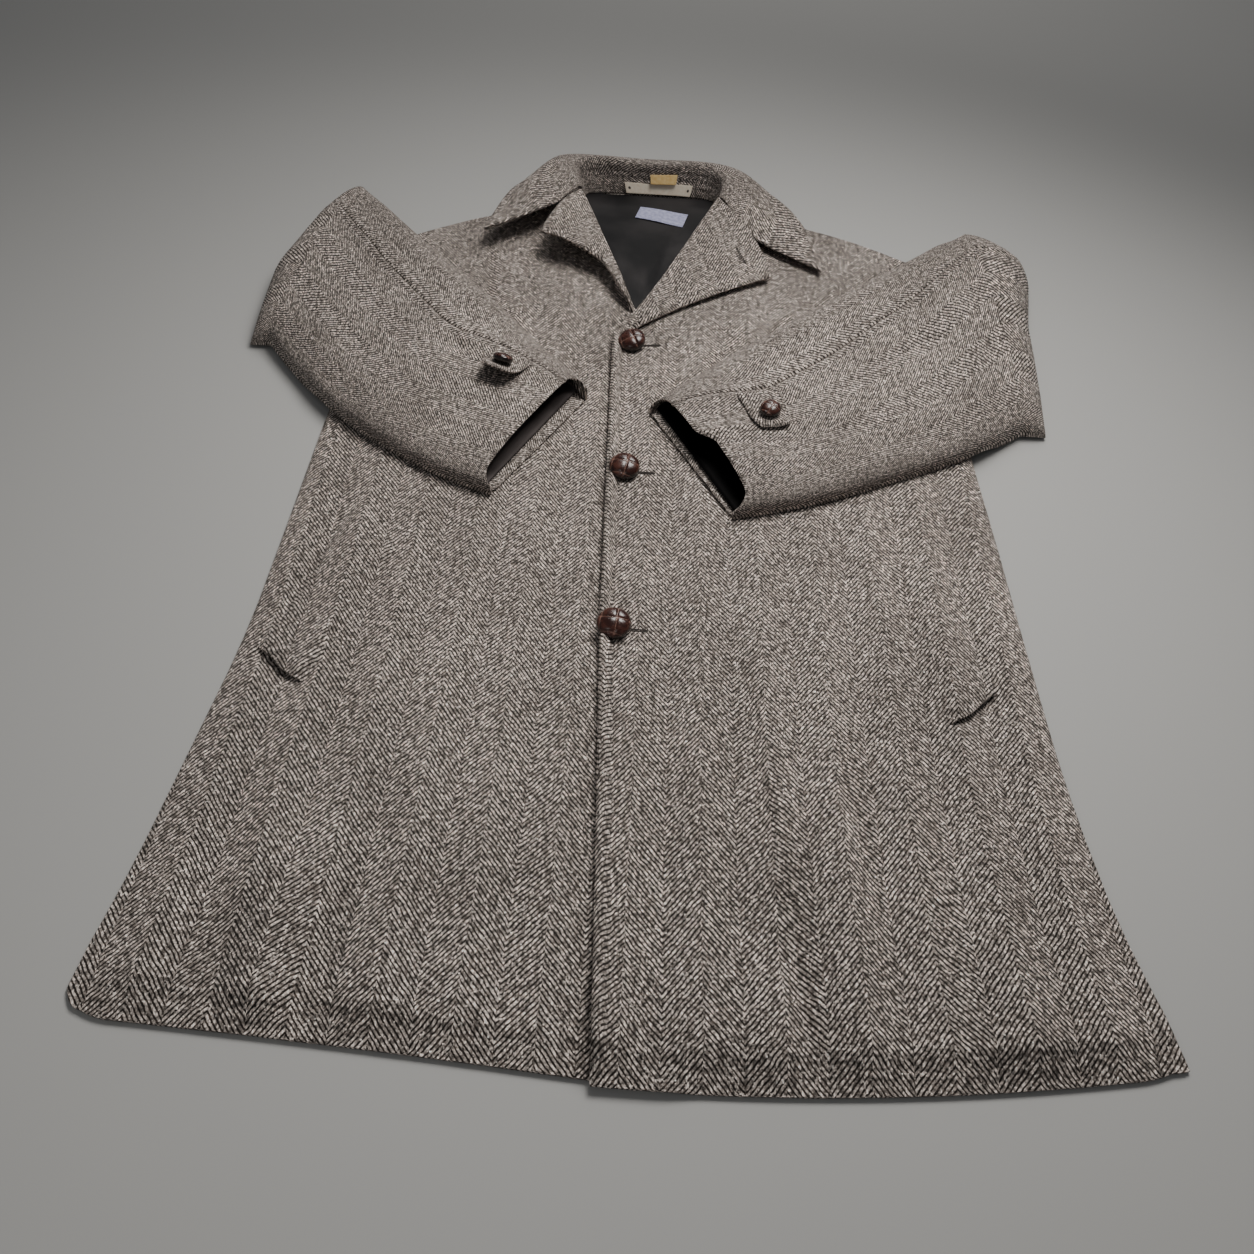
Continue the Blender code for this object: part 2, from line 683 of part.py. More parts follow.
def build_neck():
    lining_top = WALL + GAP + LINING_WALL

    def lining_place(s, t):
        y = lerp(NECK_LINING_FOOT, NECK_LINING_HEAD, t)
        left = read(UPPER_EDGE, y) + NECK_LINING_TUCK
        right = read(UNDER_EDGE, y) - NECK_LINING_TUCK
        return lerp(right, left, s), y, lining_top

    def label_place(s, t):
        across = (s - 0.5) * LABEL_SIZE[0]
        up = (t - 0.5) * LABEL_SIZE[1]
        x = LABEL_CENTRE[0] + across * math.cos(LABEL_TURN) - up * math.sin(LABEL_TURN)
        y = LABEL_CENTRE[1] + across * math.sin(LABEL_TURN) + up * math.cos(LABEL_TURN)
        return x, y, lining_top + GAP + TRIM_WALL

    def on_stand(span, rise):
        """Patch on the inner face of the collar stand."""
        def place(s, t):
            station = read(STAND_STATIONS, lerp(span[0], span[1], s))
            x, y, z = collar_point(station, STAND_SHARE * lerp(rise[0], rise[1], t))
            return x, y - TRIM_PROUD, z
        return place

    cloth("neck_lining", 6, 8, lining_place, LINING_WALL, LINING)
    cloth("neck_label", 4, 2, label_place, TRIM_WALL, LABEL)
    cloth("hanger_strip", 8, 2, on_stand(STRIP_SPAN, STRIP_RISE), TRIM_WALL, STRIP)
    cloth("size_tab", 3, 2, on_stand(SIZE_TAB_SPAN, SIZE_TAB_RISE), TRIM_WALL, BRASS_TAB)


clear_scene()
COAT = bpy.data.collections.new("tweed_overcoat")
bpy.context.scene.collection.children.link(COAT)
TWEED = material("tweed", (0.19, 0.17, 0.155), 0.95)
LINING = material("lining", (0.012, 0.012, 0.014), 0.5)
LEATHER = material("button_leather", (0.05, 0.018, 0.01), 0.3)
LABEL = material("label", (0.55, 0.55, 0.66), 0.8)
STRIP = material("hanger_strip", (0.42, 0.31, 0.27), 0.6)
BRASS_TAB = material("size_tab", (0.55, 0.36, 0.1), 0.6)

build_body()
build_collar()
build_neck()
for wearer_side in SIDES:
    build_sleeve(wearer_side)
    build_upper_arm(wearer_side)
    build_tab(wearer_side)
    build_welt(wearer_side)
for number, button_y in enumerate(FRONT_BUTTON_YS, start=1):
    def under_button(s, t, button_y=button_y):
        x = FRONT_BUTTON_X + s * FRONT_BUTTON
        y = button_y + t * FRONT_BUTTON
        return x, y, front_height(SIDES["left"], x, y)
    build_button("front_button_%d" % number, FRONT_BUTTON, under_button, (0.0, 0.0))
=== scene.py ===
# %% [markdown]
# # A tweed overcoat, laid on its back
#
# The coat lies buttoned on a pale floor with both sleeves folded over the chest.
# Its solids come from the imported model, which is only a plain frame here. Every cloth piece is laid
# again on the same form as a fine sheet, because weave, creases and soft edges need many more points.

# %% Load the frame
import math
from functools import partial

import bmesh
import bpy
from mathutils import Matrix, Vector, noise
from mathutils.bvhtree import BVHTree


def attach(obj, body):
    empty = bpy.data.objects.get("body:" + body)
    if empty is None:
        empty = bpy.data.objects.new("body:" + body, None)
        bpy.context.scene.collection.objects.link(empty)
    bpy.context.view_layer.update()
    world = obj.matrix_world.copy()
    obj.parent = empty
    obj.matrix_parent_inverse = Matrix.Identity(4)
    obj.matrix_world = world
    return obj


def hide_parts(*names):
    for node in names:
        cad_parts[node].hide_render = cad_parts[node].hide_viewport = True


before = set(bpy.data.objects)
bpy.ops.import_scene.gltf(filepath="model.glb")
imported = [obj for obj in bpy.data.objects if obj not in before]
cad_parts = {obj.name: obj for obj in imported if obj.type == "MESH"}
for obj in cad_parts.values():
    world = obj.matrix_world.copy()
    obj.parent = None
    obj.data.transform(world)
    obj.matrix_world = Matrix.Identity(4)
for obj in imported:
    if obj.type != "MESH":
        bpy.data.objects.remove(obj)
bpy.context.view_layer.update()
print("nodes in the frame:", len(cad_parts))

# %% [markdown]
# ## Measures and small helpers
#
# A tailor writes a pattern in millimetres from the hem, so the tables below do too: x runs to the
# viewer's right, y from the hem to the collar and z up. A few helpers read the tables. They could be
# replaced by curves drawn by hand, but a table is easier to correct against a photograph.

# %% Helpers for the tables
MM = 0.001
MIDDLE_Y = 551.35
SIDES = {"left": 1, "right": -1}


def lerp(a, b, t):
    return a + (b - a) * t


def mix(p, q, t):
    return tuple(lerp(a, b, t) for a, b in zip(p, q))


def ease(t):
    t = min(max(t, 0.0), 1.0)
    return t * t * (3.0 - 2.0 * t)


def bell(distance, half_width):
    return math.exp(-(distance / half_width) ** 2)


def read(rows, station, column=1):
    """Value of a column between the two rows that hold the station."""
    for low, high in zip(rows, rows[1:]):
        if station <= high[0]:
            break
    t = min(max((station - low[0]) / (high[0] - low[0]), 0.0), 1.0)
    return lerp(low[column], high[column], t)


def smooth_read(rows, station, column=1):
    """As read, with the corners between rows rounded off."""
    reach = (rows[-1][0] - rows[0][0]) * 0.04
    stations = (station - reach, station, station + reach)
    return sum(read(rows, place, column) for place in stations) / 3.0


def curved(points, t):
    """Point at t on a smooth curve through evenly numbered points."""
    place = min(max(t, 0.0), 1.0) * (len(points) - 1)
    i = min(int(place), len(points) - 2)
    u = place - i
    before = points[max(i - 1, 0)]
    after = points[min(i + 2, len(points) - 1)]
    rows = zip(before, points[i], points[i + 1], after)
    return tuple(
        0.5 * (2 * b + (c - a) * u + (2 * a - 5 * b + 4 * c - d) * u * u
               + (3 * b - a - 3 * c + d) * u ** 3)
        for a, b, c, d in rows
    )


def outward(side, s):
    """Share of the way out from the coat's middle, on either side of it."""
    return s if side > 0 else 1.0 - s


def to_world(point):
    x, y, z = point
    return Vector((x, y - MIDDLE_Y, z)) * MM


def ripple(x, y, wave, seed):
    """Slow unevenness of cloth, from -1 to 1."""
    return noise.noise(Vector((x / wave, y / wave, seed)))


print("coat middle is %.0f mm above the hem" % MIDDLE_Y)

# %% [markdown]
# ## Camera
#
# The photograph looks down on the coat from beyond its hem, at about 49 degrees, with a slightly wide
# lens and the picture turned a little. Those numbers were found by fitting straight lines of the coat.
# The camera comes early so that every later step can be looked at from the right place.

# %% Camera at the photograph's angle
PHOTO_PIXELS = 1254.0
PHOTO_FOCAL = 1223.0
camera_data = bpy.data.cameras.new("camera")
camera_data.sensor_width = 36.0
camera_data.lens = 36.0 * PHOTO_FOCAL / PHOTO_PIXELS
camera = bpy.data.objects.new("camera", camera_data)
tilt = Matrix.Rotation(math.radians(41.2), 4, "X")
turn_in_frame = Matrix.Rotation(math.radians(3.3), 4, "Z")
camera.matrix_world = Matrix.Translation((-0.0113, -0.83135, 0.746)) @ tilt @ turn_in_frame
bpy.context.scene.collection.objects.link(camera)
bpy.context.scene.camera = camera
print("lens %.1f mm" % camera_data.lens)

# %% [markdown]
# ## Herringbone tweed
#
# Tweed is a twill: pale and dark yarns pass over two and under two, one step further each row, and in
# herringbone the steps turn round in every band. Each yarn crossing could be painted in a picture, but
# a node group that counts the yarns works at any size. It reads a UV map in metres, u across the cloth
# and v along it, and gives a colour and a height, so that each sheet decides how its grain runs.

# %% Small helpers for building node groups
def new_group(name, inputs, outputs):
    group = bpy.data.node_groups.new(name, "ShaderNodeTree")
    for title, kind, value in inputs:
        socket = group.interface.new_socket(title, in_out="INPUT", socket_type=kind)
        socket.default_value = value
    for title, kind in outputs:
        group.interface.new_socket(title, in_out="OUTPUT", socket_type=kind)
    return group, group.nodes.new("NodeGroupInput"), group.nodes.new("NodeGroupOutput")


def plug(tree, node, inputs):
    """Gives each named or numbered input of a node its link or its plain value."""
    for title, value in inputs.items():
        if isinstance(value, bpy.types.NodeSocket):
            tree.links.new(value, node.inputs[title])
        else:
            node.inputs[title].default_value = value


def add_node(tree, kind, inputs, **settings):
    node = tree.nodes.new("ShaderNode" + kind)
    for setting, value in settings.items():
        setattr(node, setting, value)
    plug(tree, node, inputs)
    return node


def calc(tree, operation, a, b=0.0, c=0.0):
    return add_node(tree, "Math", {0: a, 1: b, 2: c}, operation=operation).outputs[0]


def blend_colour(tree, share, first, second, kind="MIX"):
    inputs = {"Factor": share, "A": first, "B": second}
    return add_node(tree, "Mix", inputs, data_type="RGBA", blend_type=kind).outputs["Result"]


def speckle(tree, vector, scale, detail):
    return add_node(tree, "TexNoise", {"Vector": vector, "Scale": scale, "Detail": detail}).outputs["Fac"]


def dice(tree, x, y):
    """A steady random number for each pair of whole numbers."""
    pair = add_node(tree, "CombineXYZ", {"X": x, "Y": y}).outputs["Vector"]
    return add_node(tree, "TexWhiteNoise", {"Vector": pair}, noise_dimensions="2D").outputs["Value"]


def spread(tree, value, low, high, to_low=0.0, to_high=1.0):
    inputs = {"Value": value, 1: low, 2: high, 3: to_low, 4: to_high}
    return add_node(tree, "MapRange", inputs, interpolation_type="SMOOTHSTEP").outputs["Result"]


print("node helpers ready")

# %% Herringbone group: which yarn is on top
BAND = 24.0
WARP_YARN = 0.825
WEFT_YARN = 1.075
WANDER = 2.8
herringbone, given, result = new_group(
    "herringbone",
    (("Cloth", "NodeSocketVector", (0.0, 0.0, 0.0)),
     ("Pale yarn", "NodeSocketColor", (0.7, 0.62, 0.565, 1.0)),
     ("Dark yarn", "NodeSocketColor", (0.011, 0.0075, 0.006, 1.0)),
     ("Fuzz", "NodeSocketFloat", 0.12)),
    (("Colour", "NodeSocketColor"), ("Height", "NodeSocketFloat")),
)
count = partial(calc, herringbone)
ramp = partial(spread, herringbone)
throw = partial(dice, herringbone)
dye = partial(blend_colour, herringbone)
knot = partial(add_node, herringbone)
place_mm = knot("VectorMath", {0: given.outputs["Cloth"], "Scale": 1000.0}, operation="SCALE").outputs[0]
speck = partial(speckle, herringbone, place_mm)
wander = knot("TexNoise", {"Vector": place_mm, "Scale": 0.09, "Detail": 4.0}).outputs["Color"]
shift = knot("VectorMath", {0: wander, 1: (WANDER, WANDER, 0.0), 2: place_mm}, operation="MULTIPLY_ADD")
axes = knot("SeparateXYZ", {0: shift.outputs[0]})
across, length = axes.outputs["X"], axes.outputs["Y"]
band = count("FLOOR", count("DIVIDE", across, BAND))
odd = count("FLOORED_MODULO", band, 2.0)
lean = count("MULTIPLY_ADD", odd, -2.0, 1.0)
warp_number = count("FLOOR", count("DIVIDE", across, WARP_YARN))
weft_number = count("FLOOR", count("DIVIDE", length, WEFT_YARN))
slant = count("MULTIPLY_ADD", lean, count("DIVIDE", across, WARP_YARN),
              count("DIVIDE", length, WEFT_YARN))
slant = count("MULTIPLY_ADD", odd, 2.0, slant)
hairy = speck(0.6, 2.0)
ridge = count("PINGPONG", count("ADD", hairy, slant), 2.0)
warp_on_top = ramp(ridge, 0.6, 1.15)
print("herringbone: %.0f mm bands" % BAND)

# %% [markdown]
# The yarns are spun from mixed fleece, so no two stretches have the same tone: slubs run along a yarn,
# single crossings are much paler or darker, and small clumps of fibre stand out in both. A regular twill
# would look printed, so each of these has its own random numbers.

# %% Herringbone group: mixed fleece
SLUB_LENGTH = 7.0
NEP_START = 517.0
slub = throw(warp_number, count("FLOOR", count("DIVIDE", length, SLUB_LENGTH)))
weft_slub = throw(count("FLOOR", count("DIVIDE", across, SLUB_LENGTH)), weft_number)
fleck = throw(warp_number, weft_number)
nep = throw(count("ADD", warp_number, NEP_START), weft_number)
pale = dye(ramp(slub, 0.1, 0.9), given.outputs["Pale yarn"], (0.34, 0.295, 0.265, 1.0))
dark = dye(ramp(weft_slub, 0.5, 1.0), given.outputs["Dark yarn"], (0.06, 0.045, 0.037, 1.0))
woven = dye(warp_on_top, dark, pale)
woven = dye(ramp(fleck, 0.95, 0.995, 0.0, 0.7), woven, (0.78, 0.71, 0.65, 1.0))
woven = dye(ramp(fleck, 0.05, 0.005, 0.0, 0.8), woven, (0.012, 0.009, 0.0075, 1.0))
woven = dye(ramp(nep, 0.993, 0.998, 0.0, 0.9), woven, (0.86, 0.83, 0.78, 1.0))
clump = speck(0.46, 2.0)
clump_tone = ramp(clump, 0.36, 0.64, 0.48, 1.52)
cloudy = speck(0.011, 3.0)
mottle = speck(0.22, 3.0)
tone = count("MULTIPLY", clump_tone, ramp(cloudy, 0.3, 0.72, 0.86, 1.14))
tone = count("MULTIPLY", tone, ramp(mottle, 0.38, 0.62, 0.52, 1.48))
tone_colour = knot("CombineColor", {0: tone, 1: tone, 2: tone})
mottled = dye(1.0, woven, tone_colour.outputs[0], "MULTIPLY")
fibre = speck(0.9, 4.0)
haze = count("MULTIPLY", ramp(fibre, 0.35, 0.7), given.outputs["Fuzz"])
napped = dye(haze, mottled, (0.22, 0.19, 0.17, 1.0))
herringbone.links.new(napped, result.inputs["Colour"])
print("fleece tones: pale, dark, flecks, neps and clumps")

# %% Herringbone group: height of the yarns
warp_round = count("PINGPONG", across, WARP_YARN / 2.0)
weft_round = count("PINGPONG", length, WEFT_YARN / 2.0)
weft_share = count("SUBTRACT", 1.0, warp_on_top)
top_yarn = count("MULTIPLY_ADD", warp_on_top, count("ADD", warp_round, 0.12),
                 count("MULTIPLY", weft_share, weft_round))
height = count("MULTIPLY_ADD", clump, 0.9, count("MULTIPLY_ADD", fibre, 0.6, top_yarn))
herringbone.links.new(height, result.inputs["Height"])
print("herringbone group: %d nodes" % len(herringbone.nodes))

# %% [markdown]
# ## Finishes
#
# The coat has one tweed, a dark satin lining, woven leather buttons, and a few small trims in the
# neck. Each finish is one Principled material. Sheen gives the tweed its nap; the satin is smooth with
# a fine rib; the leather has grain and a coat of polish.

# %% Tweed
def new_finish(name):
    finish = bpy.data.materials.new(name)
    finish.use_nodes = True
    tree = finish.node_tree
    return finish, tree, tree.nodes["Principled BSDF"]


def bumps(tree, height, depth, strength):
    inputs = {"Height": height, "Distance": depth, "Strength": strength}
    return add_node(tree, "Bump", inputs).outputs["Normal"]


def cloth_map(tree):
    return add_node(tree, "UVMap", {}, uv_map="cloth").outputs["UV"]


def ribs(tree, scale, distortion):
    inputs = {"Vector": cloth_map(tree), "Scale": scale, "Distortion": distortion}
    return add_node(tree, "TexWave", inputs).outputs["Fac"]


def own_place(tree):
    return add_node(tree, "TexCoord", {}).outputs["Object"]


def turned_place(tree):
    """Place on the coat itself, turned so that no cut edge lies square to the yarns."""
    inputs = {"Vector": own_place(tree), "Rotation": (0.75, 0.45, 0.3)}
    return add_node(tree, "Mapping", inputs).outputs["Vector"]


def tweed_finish(name, place_of):
    finish, tree, shader = new_finish(name)
    weave = add_node(tree, "Group", {}, node_tree=herringbone)
    plug(tree, weave, {"Cloth": place_of(tree)})
    plug(tree, shader, {
        "Base Color": weave.outputs["Colour"],
        "Normal": bumps(tree, weave.outputs["Height"], 0.0006, 0.8),
        "Roughness": 0.95,
        "Specular IOR Level": 0.15,
        "Sheen Weight": 0.06,
        "Sheen Roughness": 0.6,
        "Sheen Tint": (0.9, 0.86, 0.82, 1.0),
    })
    return finish


TWEED = tweed_finish("herringbone_tweed", cloth_map)
TWEED_EDGE = tweed_finish("tweed_edge", turned_place)
print("finishes:", TWEED.name, TWEED_EDGE.name)

# %% Satin lining
def satin_finish(name, dark, painted_sheen_colour, gloss):
    """Dark satin with a fine rib; noise patches are painted paler as sheen, and are a little rougher there.
    """
    finish, tree, shader = new_finish(name)
    # High patch values paint the satin paler as sheen.
    patch = speckle(tree, cloth_map(tree), 14.0, 3.0)
    plug(tree, shader, {
        "Base Color": blend_colour(tree, spread(tree, patch, 0.35, 0.7), dark, painted_sheen_colour),
        "Normal": bumps(tree, ribs(tree, 900.0, 1.5), 0.0001, 0.25),
        "Roughness": spread(tree, patch, 0.3, 0.7, 0.5, 0.64),
        "Specular IOR Level": gloss,
    })
    return finish


SATIN = satin_finish("black_satin", (0.006, 0.006, 0.007, 1.0), (0.034, 0.031, 0.032, 1.0), 0.2)
# The cuff linings are darker copies of the satin, painted as shade inside the cuffs: near black, and a shaded
# grey-brown facing.
SHADED_CUFF_SATIN = satin_finish("shaded_cuff_satin", (0.002, 0.002, 0.002, 1.0), (0.006, 0.0055, 0.006, 1.0), 0.04)
SHADED_CUFF_FACING = satin_finish("shaded_cuff_facing", (0.04, 0.034, 0.033, 1.0), (0.12, 0.104, 0.1, 1.0), 0.04)
print("finishes:", SATIN.name, SHADED_CUFF_SATIN.name, SHADED_CUFF_FACING.name)

# %% Button leather
LEATHER, tree, shader = new_finish("button_leather")
place = own_place(tree)
grain = add_node(tree, "TexVoronoi", {"Vector": place, "Scale": 1500.0}).outputs["Distance"]
rubbed = speckle(tree, place, 160.0, 3.0)
# Paler lines in the hollows between strips: partly wear, partly a painted highlight along the strip edges.
gap_wear_and_highlight = add_node(tree, "Attribute", {}, attribute_name="gap_wear_and_highlight").outputs["Fac"]
# foot: painted shade that darkens the leather round the button's foot.
foot = add_node(tree, "Attribute", {}, attribute_name="foot").outputs["Fac"]
worn_and_highlit = blend_colour(tree, spread(tree, rubbed, 0.35, 0.75), (0.028, 0.007, 0.0045, 1.0),
                    (0.085, 0.025, 0.015, 1.0))
worn_and_highlit = blend_colour(tree, gap_wear_and_highlight, worn_and_highlit, (0.34, 0.19, 0.145, 1.0))
plug(tree, shader, {
    "Base Color": blend_colour(tree, foot, worn_and_highlit, (0.006, 0.003, 0.002, 1.0)),
    "Normal": bumps(tree, grain, 0.00025, 0.35),
    "Roughness": spread(tree, rubbed, 0.3, 0.8, 0.2, 0.36),
    "Coat Weight": 0.5,
    "Coat Roughness": 0.12,
})
print("finish:", LEATHER.name)


# %% Tape, label and thread
def ribbed_finish(name, colour, second, rib_scale, roughness):
    """Narrow woven trims: fine ribs and a little unevenness in two near colours."""
    finish, tree, shader = new_finish(name)
    rib = ribs(tree, rib_scale, 0.6)
    uneven = speckle(tree, cloth_map(tree), 260.0, 3.0)
    share = calc(tree, "MULTIPLY_ADD", rib, 0.35, spread(tree, uneven, 0.3, 0.75, 0.0, 0.65))
    plug(tree, shader, {
        "Base Color": blend_colour(tree, share, colour, second),
        "Normal": bumps(tree, rib, 0.0002, 0.5),
        "Roughness": roughness,
    })
    return finish


LABEL = ribbed_finish("label_cloth", (0.3, 0.31, 0.52, 1.0), (0.6, 0.61, 0.78, 1.0), 420.0, 0.75)
TAPE = ribbed_finish("hanger_tape", (0.86, 0.72, 0.56, 1.0), (0.98, 0.9, 0.76, 1.0), 380.0, 0.45)
GOLD = ribbed_finish("gold_tab", (0.82, 0.52, 0.18, 1.0), (0.98, 0.74, 0.36, 1.0), 500.0, 0.5)
THREAD = ribbed_finish("buttonhole_thread", (0.02, 0.016, 0.014, 1.0), (0.06, 0.05, 0.045, 1.0), 800.0, 0.8)
TAPE_HALF = 0.039
TAPE_DOT = (0.005, 0.006)
tree = TAPE.node_tree
spot = add_node(tree, "SeparateXYZ", {0: cloth_map(tree)})
beside = calc(tree, "SUBTRACT", calc(tree, "PINGPONG", spot.outputs["X"], TAPE_HALF), TAPE_DOT[0])
above = calc(tree, "SUBTRACT", spot.outputs["Y"], TAPE_DOT[1])
away = calc(tree, "MULTIPLY_ADD", beside, beside, calc(tree, "MULTIPLY", above, above))
away = calc(tree, "SQRT", away)
shader = tree.nodes["Principled BSDF"]
plain = shader.inputs["Base Color"].links[0].from_socket
dotted = blend_colour(tree, spread(tree, away, 0.0019, 0.0011), plain, (0.03, 0.022, 0.02, 1.0))
plug(tree, shader, {"Base Color": dotted})
print("finishes:", len(bpy.data.materials))

# %% [markdown]
# ## Laying a sheet of cloth
#
# Every cloth piece is made one way: a flat grid is created, each corner keeps its place in the cloth as
# UV, and the grid is laid on the coat by a function. Solidify then gives the cloth its wall and a small
# Bevel rounds the cut edges. A cloth simulation could drape it, but the folds of this coat are known
# from the photograph, so they are listed in tables.

# %% The sheet maker
WALL = 2.4
GAP = 0.3
LAYER = WALL + GAP
SOFT_EDGE = 0.38


def map_cloth(bm, place):
    """Gives each corner its place in the cloth, as a UV map in metres."""
    cloth = bm.loops.layers.uv.new("cloth")
    for face in bm.faces:
        for loop in face.loops:
            loop[cloth].uv = place(*loop.vert.co)


def make_piece(bm, name, finish, node=None):
    """Turns a bmesh into a smooth piece of the coat, which may stand for a node of the frame."""
    mesh = bpy.data.meshes.new(name)
    bm.to_mesh(mesh)
    bm.free()
    mesh.shade_smooth()
    mesh.materials.append(finish)
    piece = bpy.data.objects.new(name, mesh)
    bpy.context.scene.collection.objects.link(piece)
    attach(piece, "root")
    if node:
        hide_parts(node)
    print("made %-24s %6d points" % (name, len(mesh.vertices)))
    return piece


def lay_cloth(name, node, grid, lay, grain, cut, held, rests_on, wall=WALL, finish=TWEED,
              closed=False, soft_edge=SOFT_EDGE):
    bm = bmesh.new()
    bmesh.ops.create_grid(bm, x_segments=grid[0], y_segments=grid[1], size=0.5)
    map_cloth(bm, lambda x, y, z: grain(x + 0.5, y + 0.5))
    for vert in bm.verts:
        vert.co = to_world(lay(vert.co.x + 0.5, vert.co.y + 0.5))
    if closed:
        bmesh.ops.remove_doubles(bm, verts=bm.verts[:], dist=0.00001)
    piece = make_piece(bm, name, finish, node)
    solid = piece.modifiers.new("wall", "SOLIDIFY")
    solid.thickness = wall * MM
    solid.offset = -1.0
    if finish == TWEED:
        piece.data.materials.append(TWEED_EDGE)
        solid.material_offset_rim = 1
    if soft_edge:
        rounded = piece.modifiers.new("soft edge", "BEVEL")
        rounded.limit_method = "ANGLE"
        rounded.angle_limit = math.radians(50.0)
        rounded.width = soft_edge * wall * MM
        rounded.segments = 2
    declare(piece, lay, *cut, held, rests_on)
    return piece


def flat_area(lay, steps=24):
    """Area of a laid sheet in square metres, from a coarse set of its points."""
    shares = [i / steps for i in range(steps + 1)]
    points = [[to_world(lay(s, t)) for t in shares] for s in shares]
    total = 0.0
    for i in range(steps):
        for j in range(steps):
            a, b, c, d = points[i][j], points[i + 1][j], points[i + 1][j + 1], points[i][j + 1]
            total += ((c - a).cross(d - b)).length / 2.0
    return total


def declare(piece, lay, width, length, held, rests_on):
    """States the sheet's cut in millimetres, with its true area."""
    area = min(flat_area(lay), width * length * MM * MM)
    print("  cut %.0f x %.0f mm, area %.4f m2" % (width, length, area))


print("cloth wall %.1f mm" % WALL)

# %% [markdown]
# ## Back
#
# The back panel lies flat on the floor under everything else. Little of it shows, only its hem and its
# sides between the fronts, but the coat rests on it, so it is a whole panel.

# %% Outline of the body and the back panel
BODY_SECTIONS = (
    # y, right, left
    (30.0, 353.0, 359.0),
    (110.0, 339.0, 335.0),
    (230.0, 325.0, 319.0),
    (340.0, 312.0, 313.0),
    (500.0, 307.0, 306.0),
    (615.0, 304.0, 300.0),
    (760.0, 299.0, 297.0),
    (915.0, 293.0, 293.0),
)
SHOULDER_Y = 915.0
BACK_NECK_Y = 1048.0
BACK_NECK_HALF = 62.0
SIDE_ROLL = 11.0
SIDE_FOOT = 1.5
BACK_ROOM = SIDE_ROLL + 0.5
BACK_HEM_Y = 10.0
BACK_HEM_CORNER_Y = 31.0
BACK_CORNER_FROM = 0.86
BACK_CORNER_RISE = 8.0
GRAIN_HALF = 305.0
FAN_SHARE = 0.5


def body_half(side, y):
    return smooth_read(BODY_SECTIONS, y, 1 if side < 0 else 2)


def body_grain(side, x, y):
    """The bands fan out with the flare of the coat, but only half as much as its sides do."""
    return x * GRAIN_HALF / lerp(GRAIN_HALF, body_half(side, y), FAN_SHARE) * MM, y * MM


def back_place(s, t):
    share = 2.0 * s - 1.0
    side = 1 if share > 0 else -1
    hem_y = lerp(BACK_HEM_Y, BACK_HEM_CORNER_Y, share * share)
    slope = (BACK_NECK_Y - SHOULDER_Y) / (body_half(side, SHOULDER_Y) - BACK_NECK_HALF)
    reach = abs(share) * body_half(side, SHOULDER_Y)
    top_y = BACK_NECK_Y - slope * max(reach - BACK_NECK_HALF, 0.0)
    corner = max(abs(share) - BACK_CORNER_FROM, 0.0) / (1.0 - BACK_CORNER_FROM)
    y = lerp(hem_y, top_y, t) + BACK_CORNER_RISE * corner * corner * (1.0 - t) ** 12
    return share * (body_half(side, y) - BACK_ROOM), y, WALL


def back_grain(s, t):
    x, y, z = back_place(s, t)
    return body_grain(1 if x > 0 else -1, x, y)


lay_cloth("back_panel", "back", (40, 60), back_place, back_grain, (690.0, 1055.0), "laid", [])

# %% [markdown]
# ## Fronts
#
# The left front buttons over the right one. Both lie on the back with a soft swell, roll down round the
# side seam, and wave near the hem. The edge is turned and stitched about a centimetre in, which leaves
# a thin ridge, and the hem is turned in the same way. The folds are a short table of troughs and ridges.

# %% How the fronts lie
HEM_SAG = {1: 9.0, -1: -2.0}
HEM_CORNER_Y = {1: 25.0, -1: 24.0}
HEM_CORNER_RISE = {1: 3.0, -1: 5.0}
HEM_CORNER_FROM = 0.94
HEM_ROLL_RISE = {1: 2.0, -1: 13.0}
SHOULDER_BULGE = 14.0
NECK_TOP_Y = 1008.0
UPPER_EDGE = (
    # y, x
    (-2.0, -18.0),
    (126.0, -23.0),
    (373.0, -34.0),
    (751.0, -43.0),
    (800.0, -16.0),
    (1008.0, 66.0),
)
UNDER_EDGE = (
    # y, x
    (-1.0, 24.0),
    (126.0, 19.0),
    (373.0, 8.0),
    (751.0, -2.0),
    (800.0, -20.0),
    (1008.0, -94.0),
)
UNDER_TOP = WALL + LAYER
UPPER_TOP = UNDER_TOP + LAYER
SWELL = 7.0
SWELL_FROM_SIDE = 90.0
SWELL_FROM_EDGE = 120.0
SWELL_FROM_SHOULDER = 230.0
SWELL_SHOULDER_Y = 985.0
OVERLAP_EASE = 6.0
NECK_LIFT = 3.0
NECK_LIFT_FROM = 757.0
NECK_LIFT_OVER = 45.0
UPPER_LIFT_LEAD = 14.0
NECK_LIFT_REACH = 150.0
NECK_LIFT_FADE = 70.0
PROUD_EDGE = 2.0
PROUD_EDGE_OVER = 34.0
PROUD_EDGE_END_Y = 790.0
PROUD_EDGE_FADE = 40.0
FRONT_FLAT_SHARE = 0.9
FOLDS = (
    # x at foot, y at foot, x at head, y at head, half width, height
    (95.0, 40.0, 86.0, 330.0, 15.0, -5.0),
    (140.0, 0.0, 128.0, 260.0, 22.0, 5.0),
    (122.0, -40.0, 100.0, 150.0, 16.0, -4.0),
    (212.0, -40.0, 190.0, 190.0, 20.0, -4.5),
    (262.0, -30.0, 232.0, 210.0, 24.0, 4.0),
    (-262.0, -30.0, -285.0, 230.0, 20.0, -4.5),
    (-232.0, -30.0, -240.0, 200.0, 20.0, 4.5),
    (-206.0, -40.0, -188.0, 170.0, 16.0, -5.0),
    (-165.0, 20.0, -150.0, 230.0, 22.0, 4.0),
    (-90.0, -20.0, -80.0, 240.0, 26.0, 3.0),
)
FOLD_FOOT_SHARE = 0.25
FOLD_HEAD_SHARE = 0.4


def edge_rows(side):
    return UPPER_EDGE if side > 0 else UNDER_EDGE


